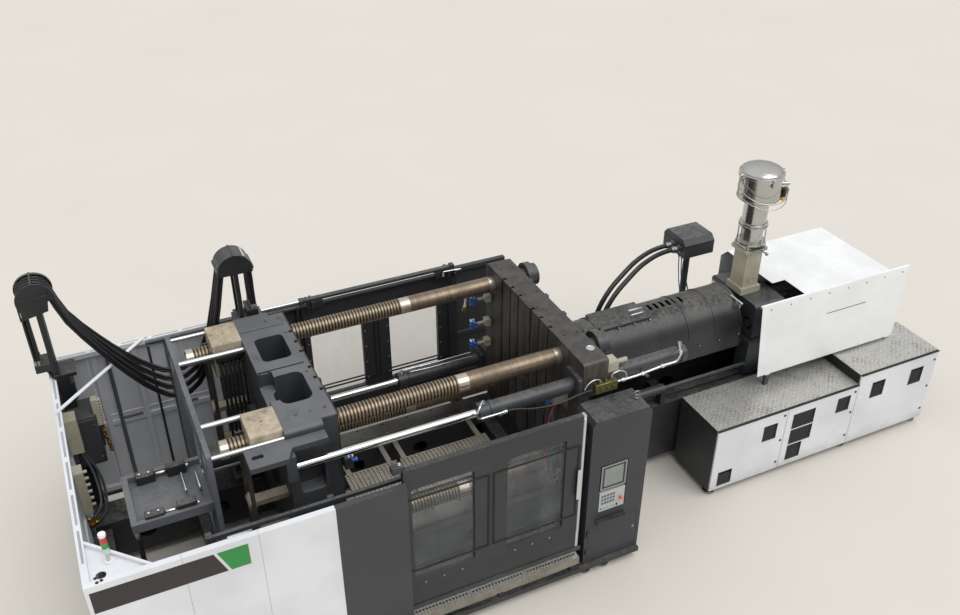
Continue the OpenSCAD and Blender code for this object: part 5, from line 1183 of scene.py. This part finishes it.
def makeEndWall():
    low, high = endSet["box"]
    box = block(low, high, 0.012, 2)
    lid = block((low[0] + 0.02, low[1] - 0.012, low[2] + 0.03),
                (high[0] - 0.02, low[1] + 0.002, high[2] - 0.03), 0.005)
    finished("switchBox", [box, lid], "panelPaint")
    latches = copied(rod((high[0] - 0.04, low[1] - 0.022, low[2] + 0.1),
                         (high[0] - 0.04, low[1] - 0.01, low[2] + 0.1), 0.024), [(0, 0, 0.45)])
    finished("switchBoxLatches", latches, "zincPlate")
    low, high = endSet["strip"]
    strip = block(low, high, 0.006)
    carrier = block((low[0] + 0.01, low[1] + 0.02, low[2] - 0.3),
                    (low[0] + 0.045, high[1] + 0.02, low[2] + 0.02), 0.004)
    tooth = block((high[0] - 0.002, low[1] + 0.015, low[2] + 0.012),
                  (high[0] + 0.03, high[1] - 0.015, low[2] + 0.03), 0.003)
    teeth = copied(tooth, [(0, 0, 0.038 * k) for k in range(1, 9)])
    finished("manifoldStrip", [strip] + teeth, "feederPaint")
    finished("stripCarrier", [carrier, block((-5.1, 1.22, 1.42), (-4.82, 1.27, 1.47), 0.004)],
             "cylinderPaint")
    unions = []
    for k, z in enumerate((1.52, 1.43, 1.34, 1.25)):
        unions += threadedEnd((-4.8 + 0.01 * k, 1.185, z), (0, -1, 0), 0.03)
    unions += [rod((-4.8, 1.2, 1.58), (-4.77, 1.2, 1.2), 0.03)]
    finished("brassUnions", unions, "brassFitting")
    laidHose("endHoseOne", [(-5.06, 0.95, 1.475), (-5.06, 0.95, 1.42), (-5.035, 0.93, 1.32),
                            (-5.01, 0.89, 1.21), (-4.998, 0.81, 1.1), (-4.995, 0.71, 1.02),
                         (-5.007, 0.61, 0.98), (-5.042, 0.527, 0.96), (-5.1, 0.47, 0.952),
                         (-5.172, 0.45, 0.95)], 0.028, "hoseGrey")
    laidHose("endHoseTwo", [(-5.06, 1.04, 1.475), (-5.06, 1.04, 1.42), (-5.02, 1.03, 1.3), (-4.97, 1.0, 1.15),
                            (-4.945, 0.95, 1.0), (-4.945, 0.885, 0.865),
                          (-4.965, 0.815, 0.765), (-5.005, 0.757, 0.705), (-5.06, 0.72, 0.674),
                          (-5.12, 0.7, 0.662)], 0.028, "hoseGrey")
    plates = [block((-5.2, 0.39, 0.88), (-5.17, 0.51, 1.02), 0.006),
              block((-5.196, 0.64, 0.636), (-5.12, 0.76, 0.7), 0.006)]
    ends = threadedEnd((-5.172, 0.45, 0.95), (1, 0, 0), 0.026) + threadedEnd((-5.12, 0.7, 0.662), (1, 0, 0),
                                                                             0.026)
    ends += threadedEnd((-5.06, 0.95, 1.5), (0, 0, -1), 0.026) + threadedEnd((-5.06, 1.04, 1.5), (0, 0, -1),
                                                                             0.026)
    finished("hoseAnchors", plates + ends, "brassFitting")


# Guard walls: slots between the cross pieces of the rim as grey strips of painted shade, seams, ribs in a
# dark grey that is painted shade, and gusset holes as near-black discs of painted shade
wallDetail = {"rimY": 1.77, "rimZ": 2.2015, "pitch": 0.34, "slot": 0.29, "seams": [-3.76, -4.27, -4.8],
              "ribs": [-3.93, -4.59]}


def makeWallDetail():
    w = wallDetail
    # rim slots: thin grey strips painted as the shade inside them
    first = block((-5.08, w["rimY"] - 0.011, 2.199), (-5.08 + w["slot"], w["rimY"] + 0.011, w["rimZ"]),
                  0.0008)
    slots = copied(first, [(w["pitch"] * k, 0, 0) for k in range(1, 5)])
    finished("rearRimSlots", slots, "rimSlotPaintedShade")
    first = block((-5.176, -1.5, 2.199), (-5.154, -1.5 + 0.42, w["rimZ"]), 0.0008)
    finished("endRimSlots", copied(first, [(0, 0.5 * k, 0) for k in range(1, 6)]), "rimSlotPaintedShade")
    seams = [block((x - 0.005, 1.788, 0.3), (x + 0.005, 1.7965, 2.14), 0.001) for x in w["seams"]]
    seams += [block((-5.1, 1.788, 1.235), (-3.44, 1.7965, 1.245), 0.001)]
    finished("rearWallSeams", seams, "whitePlastic", "machine", "panel_white")
    ribs = [block((x - 0.022, 1.762, 0.3), (x + 0.022, 1.797, 2.14), 0.006) for x in w["ribs"]]
    clips = [block((a, 1.765, 1.16), (b, 1.79, 1.185), 0.004) for a,
             b in ((-4.575, -4.342), (-3.911, -3.691))]
    # ribs and clips take a dark grey that is painted shade
    finished("rearWallRibs", ribs + clips, "ribAndClipPaintedShade")
    wall = [block((-5.197, y - 0.005, 0.3), (-5.19, y + 0.005, 2.14), 0.001) for y in (-0.9, -0.1, 0.7)]
    finished("endWallSeams", wall, "whitePlastic", "machine", "panel_white")
    # gusset holes: near-black discs of painted shade
    holes = []
    for x, y in ((-5.09, -1.715), (-5.045, -1.757), (-5.082, -1.768)):
        holes.append(turned((x, y, 2.2), (0, 0, 1), [(0, 0.016), (0.0015, 0.016), (0.002, 0.013),
                                                     (0.0008, 0.011)], 14))
    finished("gussetHoles", holes, "openingPaintedShade")


# Core-pull shelf: blocks, chrome unions and the pipes that drop from its outer end
shelfSet = {"top": 1.88, "y": (-0.88, -0.3), "drop": -4.7}


def makeShelf():
    t = shelfSet["top"]
    rails, bright = [], []
    for y in shelfSet["y"]:
        rails += [block((-4.6, y - 0.05, t), (-4.42, y + 0.05, t + 0.1), 0.006),
                  block((-4.3, y - 0.045, t), (-4.12, y + 0.045, t + 0.12), 0.006)]
        bright += [rod((-4.42, y, t + 0.06), (-4.3, y, t + 0.06), 0.03)]
        bright += threadedEnd((-4.14, y, t + 0.06), (1, 0, 0), 0.032)
        for x in (-4.56, -4.47):
            bright += [hexNut((x, y, t + 0.1), (0, 0, 1), 0.034, 0.014)]
        bright += [rod((shelfSet["drop"], y, t - 0.02), (shelfSet["drop"], y, t - 0.1),
                       0.04)] + threadedEnd((shelfSet["drop"], y, t - 0.1), (0, 0, -1), 0.034)
        rails += [rod((shelfSet["drop"], y, t - 0.16), (shelfSet["drop"], y, 1.2), 0.05)]
    bright += [pipe([(-4.05, -0.5, t + 0.02), (-4.05, -0.5, t + 0.14), (-4.05, -0.75, t + 0.14),
                     (-4.05, -0.75, t + 0.02)], 0.026, 0.05)]
    bright += [pipe([(-4.18, -0.42, t + 0.02), (-4.18, -0.42, t + 0.1), (-4.18, -0.7, t + 0.1),
                     (-4.18, -0.7, t + 0.02)], 0.022, 0.04)]
    finished("shelfValves", rails, "guardPaint", "platen", "platen_iron")
    finished("shelfUnions", bright, "chromeRod", "platen", smooth=50)


# Junction box: rubber lid mat, glands, loose cables down to the barrel guard
boxSet = {"x": (2.69, 3.16), "y": (0.84, 1.33)}


def makeJunctionBox():
    b = boxSet
    glands = []
    for k in (0, 1):
        y = 0.96 + 0.13 * k
        glands.append(turned((2.632, y, 2.17), (-1, 0, 0), [(0, 0.046), (0.012, 0.046), (0.014, 0.05),
                                                            (0.05, 0.05), (0.056, 0.04), (0.075, 0.037)], 14))
        glands.append(hexNut((2.69, y, 2.17), (-1, 0, 0), 0.115, 0.02))
    small = [(2.72, 0.87), (2.72, 0.93), (2.72, 0.99)]
    for x, y in small:
        glands += [hexNut((x, y, 2.062), (0, 0, -1), 0.036, 0.016), rod((x, y, 2.05), (x, y, 2.015), 0.024)]
    finished("boxGlands", glands, "zincPlate")
    seam = [block((b["x"][0] - 0.002, b["y"][0] - 0.002, 2.228),
                  (b["x"][1] + 0.002, b["y"][1] + 0.002, 2.236), 0.001)]
    finished("boxSeam", seam, "gasketRubber")
    laidHose("boxCableBlack", [(2.72, 0.87, 2.035), (2.72, 0.87, 1.99), (2.725, 0.855, 1.9),
                               (2.735, 0.83, 1.8), (2.745, 0.79, 1.7), (2.75, 0.74, 1.6),
                         (2.745, 0.69, 1.5), (2.73, 0.655, 1.4), (2.71, 0.645, 1.3), (2.69, 0.645, 1.2),
                         (2.68, 0.65, 1.12), (2.68, 0.65, 1.065)], 0.018)
    laidHose("boxCableBlue", [(2.72, 0.99, 2.035), (2.72, 0.985, 1.99), (2.705, 0.955, 1.9), (2.68, 0.9, 1.8),
                              (2.655, 0.84, 1.71), (2.63, 0.77, 1.62),
                        (2.61, 0.71, 1.52), (2.6, 0.67, 1.42), (2.6, 0.65, 1.32), (2.605, 0.645, 1.22),
                        (2.61, 0.645, 1.13), (2.61, 0.645, 1.065)], 0.014, "hoseBlue")
    laidHose("boxCableThird", [(2.72, 0.93, 2.035), (2.72, 0.925, 1.99), (2.712, 0.905, 1.9),
                               (2.7, 0.87, 1.8), (2.685, 0.82, 1.7), (2.67, 0.76, 1.6),
                         (2.655, 0.71, 1.5), (2.648, 0.68, 1.4), (2.645, 0.665, 1.3), (2.645, 0.66, 1.2),
                         (2.645, 0.66, 1.12), (2.645, 0.66, 1.065)], 0.014)
    sockets = [block((2.57, 0.6, 1.044), (2.72, 0.7, 1.07), 0.005)]
    finished("cableSocket", sockets, "cylinderPaint")
    clamps = []
    for k in (0, 1):
        x, y, z = 2.6297 - 1.385, 0.96 - 0.367 + 0.13 * k, 2.17 - 0.9
        clamps.append(turned((x, y, z), (0, 0, 1), [(0, 0.036), (0.003, 0.039), (0.04, 0.039),
                                                    (0.043, 0.036)], 18))
    clamps.append(block((1.19, 0.56, 1.262), (1.3, 0.6, 1.305), 0.004))
    finished("conduitClamps", clamps, "zincPlate")


# Barrel guard: raised cover with its handle, banding, the bar at its end
guardSet = {"cover": (0.76, 1.5), "axisZ": 1.69}


def guardBand(x0, x1, radius, wall, low):
    return openShell(((x0 + x1) / 2, 0, guardSet["axisZ"]), (0, math.radians(90), 0), radius + wall, x1 - x0,
                     56,
                     lambda p: p.z < low, wall + 0.002)


def makeGuardDetail():
    g = guardSet
    cover = guardBand(g["cover"][0], g["cover"][1], 0.402, 0.006, 1.75)
    bands = [guardBand(x - 0.014, x + 0.014, 0.401, 0.005, 1.72) for x in (0.28, 1.95, 2.35, 2.72)]
    ridge = block((g["cover"][0] + 0.02, -0.19, 2.062), (g["cover"][1] - 0.02, 0.19, 2.094), 0.01, 2)
    finished("guardCovers", [cover, ridge] + bands, "coverPaint", "injection_unit", smooth=30)
    handle = pipe([(1.25, -0.1, 2.09), (1.25, -0.1, 2.125), (1.43, -0.1, 2.125), (1.43, -0.1, 2.09)], 0.014,
                  0.02)
    plate = block((1.3, 0.02, 2.092), (1.5, 0.05, 2.1), 0.002)
    end = [rod((2.722, 0.25, 2.05), (2.703, -0.385, 2.05), 0.03)]
    foot = [block((2.69, y - 0.012, 1.98), (2.73, y + 0.012, 2.05), 0.003) for y in (0.22, -0.34)]
    finished("guardHandle", [handle, plate] + end + foot, "chromeRod", "injection_unit", smooth=50)
    heads = copied(screwHead((0.8, -0.2, 2.062), (0, -0.5, 0.86), 0.024),
                   [(0.22 * k, 0, 0) for k in range(1, 4)])
    heads += copied(screwHead((1.8, -0.408, 1.62), (0, -1, 0), 0.026), [(0.3 * k, 0, 0) for k in range(1, 4)])
    finished("guardScrews", heads, "zincPlate", "injection_unit")


# Loader: clamp bands, toggles, thin air pipes round the drum, and its valve
loaderSet = {"x": 3.01, "drum": 0.255}


def makeLoader():
    s = loaderSet
    pieces = []
    for z, r in ((3.3, 0.257), (3.585, 0.268), (2.952, 0.168)):
        pieces.append(turned((s["x"], 0, z), (0, 0, 1), [(0, r), (0.002, r + 0.004), (0.018, r + 0.004),
                                                         (0.02, r)], 48))
    for angle in (-100, -10, 80, 170):
        c, d = math.cos(math.radians(angle)), math.sin(math.radians(angle))
        x, y = s["x"] + c * (s["drum"] + 0.022), d * (s["drum"] + 0.022)
        pieces.append(block((x - 0.012, y - 0.012, 3.53), (x + 0.012, y + 0.012, 3.64), 0.004))
        pieces.append(rod((x, y, 3.6), (x + c * 0.03, y + d * 0.03, 3.64), 0.012))
    ring = []
    for k in range(17):
        angle = math.radians(175 + k * 11)
        r = s["drum"] + 0.06 + 0.035 * math.sin(math.pi * k / 16)
        ring.append((s["x"] + math.cos(angle) * r, math.sin(angle) * r,
                     3.5 - 0.15 * math.sin(math.pi * k / 16)))
    lower = [(x, y, z - 0.07) for x, y, z in ring[1:-1]]
    pieces.append(tubeAlong("airPipe", [(ring[0][0] + 0.06, 0.02, 3.62), (ring[0][0], 0.0, 3.62)] + ring,
                            0.014))
    pieces.append(tubeAlong("airPipe", [(s["x"] - s["drum"], 0.03, 3.54)] + lower, 0.012))
    pieces.append(tubeAlong("airPipe", bentRoute([(2.72, -0.03, 3.66), (2.66, -0.03, 3.66),
                                                  (2.66, -0.03, 3.4), (2.76, -0.03, 3.4)], 0.03), 0.02))
    finished("loaderBands", pieces, "stainless", "injection_unit", smooth=50)
    bolts = copied(hexNut((s["x"] + 0.164, 0, 2.938), (0, 0, 1), 0.024, 0.014),
                   [(0.164 * (math.cos(a) - 1), 0.164 * math.sin(a), 0)
                    for a in (math.radians(60 * k) for k in range(1, 6))])
    bolts += copied(hexNut((s["x"] + 0.12, 0.1, 2.63), (0, 0, 1), 0.026, 0.014),
                    [(-0.24, 0, 0), (0, -0.2, 0), (-0.24, -0.2, 0)])
    finished("loaderBolts", bolts, "zincPlate", "injection_unit")
    valve = [turned((3.305, -0.105, 3.28), (0, 0, 1), [(0, 0.03), (0.01, 0.034), (0.05, 0.034), (0.06, 0.026),
                                                       (0.09, 0.026)], 16),
             block((3.27, -0.15, 3.34), (3.35, -0.07, 3.4), 0.006)]
    finished("loaderValve", valve, "blackPlastic", "injection_unit")
    finished("loaderValveBody", [block((3.275, -0.14, 3.24), (3.34, -0.085, 3.29), 0.006)], "yellowPlastic",
             "injection_unit")
    ring = turned((3.01, -0.121, 2.19), (0, -1, 0), [(0, 0.052), (0.004, 0.052), (0.006, 0.048),
                                                     (0.006, 0.041), (0.001, 0.04)], 28)
    finished("throatPort", [ring], "feederPaint", "injection_unit")


# Service cabinets: dark edge strip under the tread plate, latches, frames of the vents
serviceSet = {"face": -1.342, "strips": [(1.79, 3.978, 1.0335, 1.0395), (3.984, 5.306, 1.1735, 1.1795)],
              "latches": {"cabinet_1": (2.806, (0.95, 0.56, 0.2)), "cabinet_2": (3.936, (0.95, 0.62, 0.24)),
                          "cabinet_3": (5.266, (1.05, 0.62, 0.24))}}


def makeService():
    s = serviceSet
    strips = [block((a, s["face"] - 0.01, z0), (b, -1.305, z1), 0.002) for a, b, z0, z1 in s["strips"]]
    strips += [block((a, s["face"] - 0.012, z0 + 0.0005), (b, s["face"] - 0.004, z1 + 0.012), 0.002) for a, b,
               z0, z1 in s["strips"]]
    strips.append(block((3.974, -1.32, 1.046), (3.9835, -0.62, 1.178), 0.002))
    finished("deckEdge", strips, "gasketRubber")
    profile = [(0, 0.017), (0.004, 0.017), (0.007, 0.014), (0.007, 0.008), (0.003, 0.006)]
    for owner, (x, heights) in s["latches"].items():
        pieces = [turned((x, s["face"], z), (0, -1, 0), profile, 14) for z in heights]
        finished(owner + "Latches", pieces, "blackPlastic", owner)
    for owner, openings in zip(s["latches"], louvreSet.values()):
        pieces = []
        for x0, x1, z0, z1 in openings:
            for a, b, c, d in ((x0 - 0.008, x1 + 0.008, z1, z1 + 0.01),
                               (x0 - 0.008, x1 + 0.008, z0 - 0.01, z0),
                               (x0 - 0.01, x0, z0 - 0.01, z1 + 0.01), (x1, x1 + 0.01, z0 - 0.01, z1 + 0.01)):
                pieces.append(block((a, s["face"] - 0.003, c), (b, s["face"] + 0.002, d), 0.0012))
        finished(owner + "VentFrames", pieces, "blackPlastic", owner)


# Side guard: slot as a near-black strip of painted shade, and screws
def makeSideGuard():
    line = block((3.68, -0.8368, 1.905), (4.315, -0.8348, 1.914), 0.0006)
    finished("sideGuardSlot", [line], "openingPaintedShade")
    heads = copied(screwHead((2.75, -0.8348, 2.22), (0, -1, 0), 0.02), [(0.3 * k, 0, 0) for k in range(1, 8)])
    finished("sideGuardScrews", heads, "zincPlate")


stages = {
    "doors: detailed": (makeFields, makeGaskets, makeRearDrive),
    "clamp: detailed": (makeCabinet, makeValves, makeWaterHoses, makeFrontLine, makeRearLine,
                        makePlatenDetail,
                        makeNotches),
    "walls and saddles: detailed": (makeSaddles, makeFerrules, makeEndWall, makeWallDetail, makeShelf),
    "injection side: detailed": (makeJunctionBox, makeGuardDetail, makeLoader, makeService, makeSideGuard),
}
for said, makers in stages.items():
    for make in makers:
        make()
    print(said)


# Floor, key light and world
studioSet = {"floor": "#d9d4cb", "floorShade": "#d2cdc3", "floorSize": 90.0, "sky": 0.78, "keyPower": 1.45,
             "keyAngle": 50.0,
             "keyFrom": (-0.3, 0.55, -1.0)}


def makeStudio():
    deselectAll()
    bpy.ops.mesh.primitive_plane_add(size=studioSet["floorSize"], location=(0, 0, 0))
    floor = bpy.context.object
    floor.name = "studioFloor"
    made = Finish("studioFloorPaint")
    made.done(made.blendColour(made.noise(0.35, 3.0), studioSet["floor"], studioSet["floorShade"]),
              0.55 + made.noise(1.2, 3.0) * 0.1)
    floor.data.materials.append(made.material)
    deselectAll()
    bpy.ops.object.light_add(type="SUN", location=(0, 0, 12))
    key = bpy.context.object
    key.data.energy = studioSet["keyPower"]
    key.data.angle = math.radians(studioSet["keyAngle"])
    aimAt(key, studioSet["keyFrom"])
    world = bpy.data.worlds.new("studioWorld")
    bpy.context.scene.world = world
    world.use_nodes = True
    tree = world.node_tree
    back = tree.nodes["Background"]
    place = tree.nodes.new("ShaderNodeTexCoord")
    split = tree.nodes.new("ShaderNodeSeparateXYZ")
    ramp = tree.nodes.new("ShaderNodeValToRGB")
    ramp.color_ramp.elements[0].position = 0.45
    ramp.color_ramp.elements[0].color = (0.5, 0.5, 0.5, 1)
    ramp.color_ramp.elements[1].position = 0.9
    ramp.color_ramp.elements[1].color = (1.15, 1.16, 1.18, 1)
    lift = tree.nodes.new("ShaderNodeMapRange")
    lift.inputs["From Min"].default_value = -1
    tree.links.new(place.outputs["Generated"], split.inputs[0])
    tree.links.new(split.outputs[2], lift.inputs["Value"])
    tree.links.new(lift.outputs[0], ramp.inputs[0])
    tree.links.new(ramp.outputs[0], back.inputs["Color"])
    back.inputs["Strength"].default_value = studioSet["sky"]
    bpy.context.scene.view_settings.view_transform = "Standard"


makeStudio()
print("studio: lit")
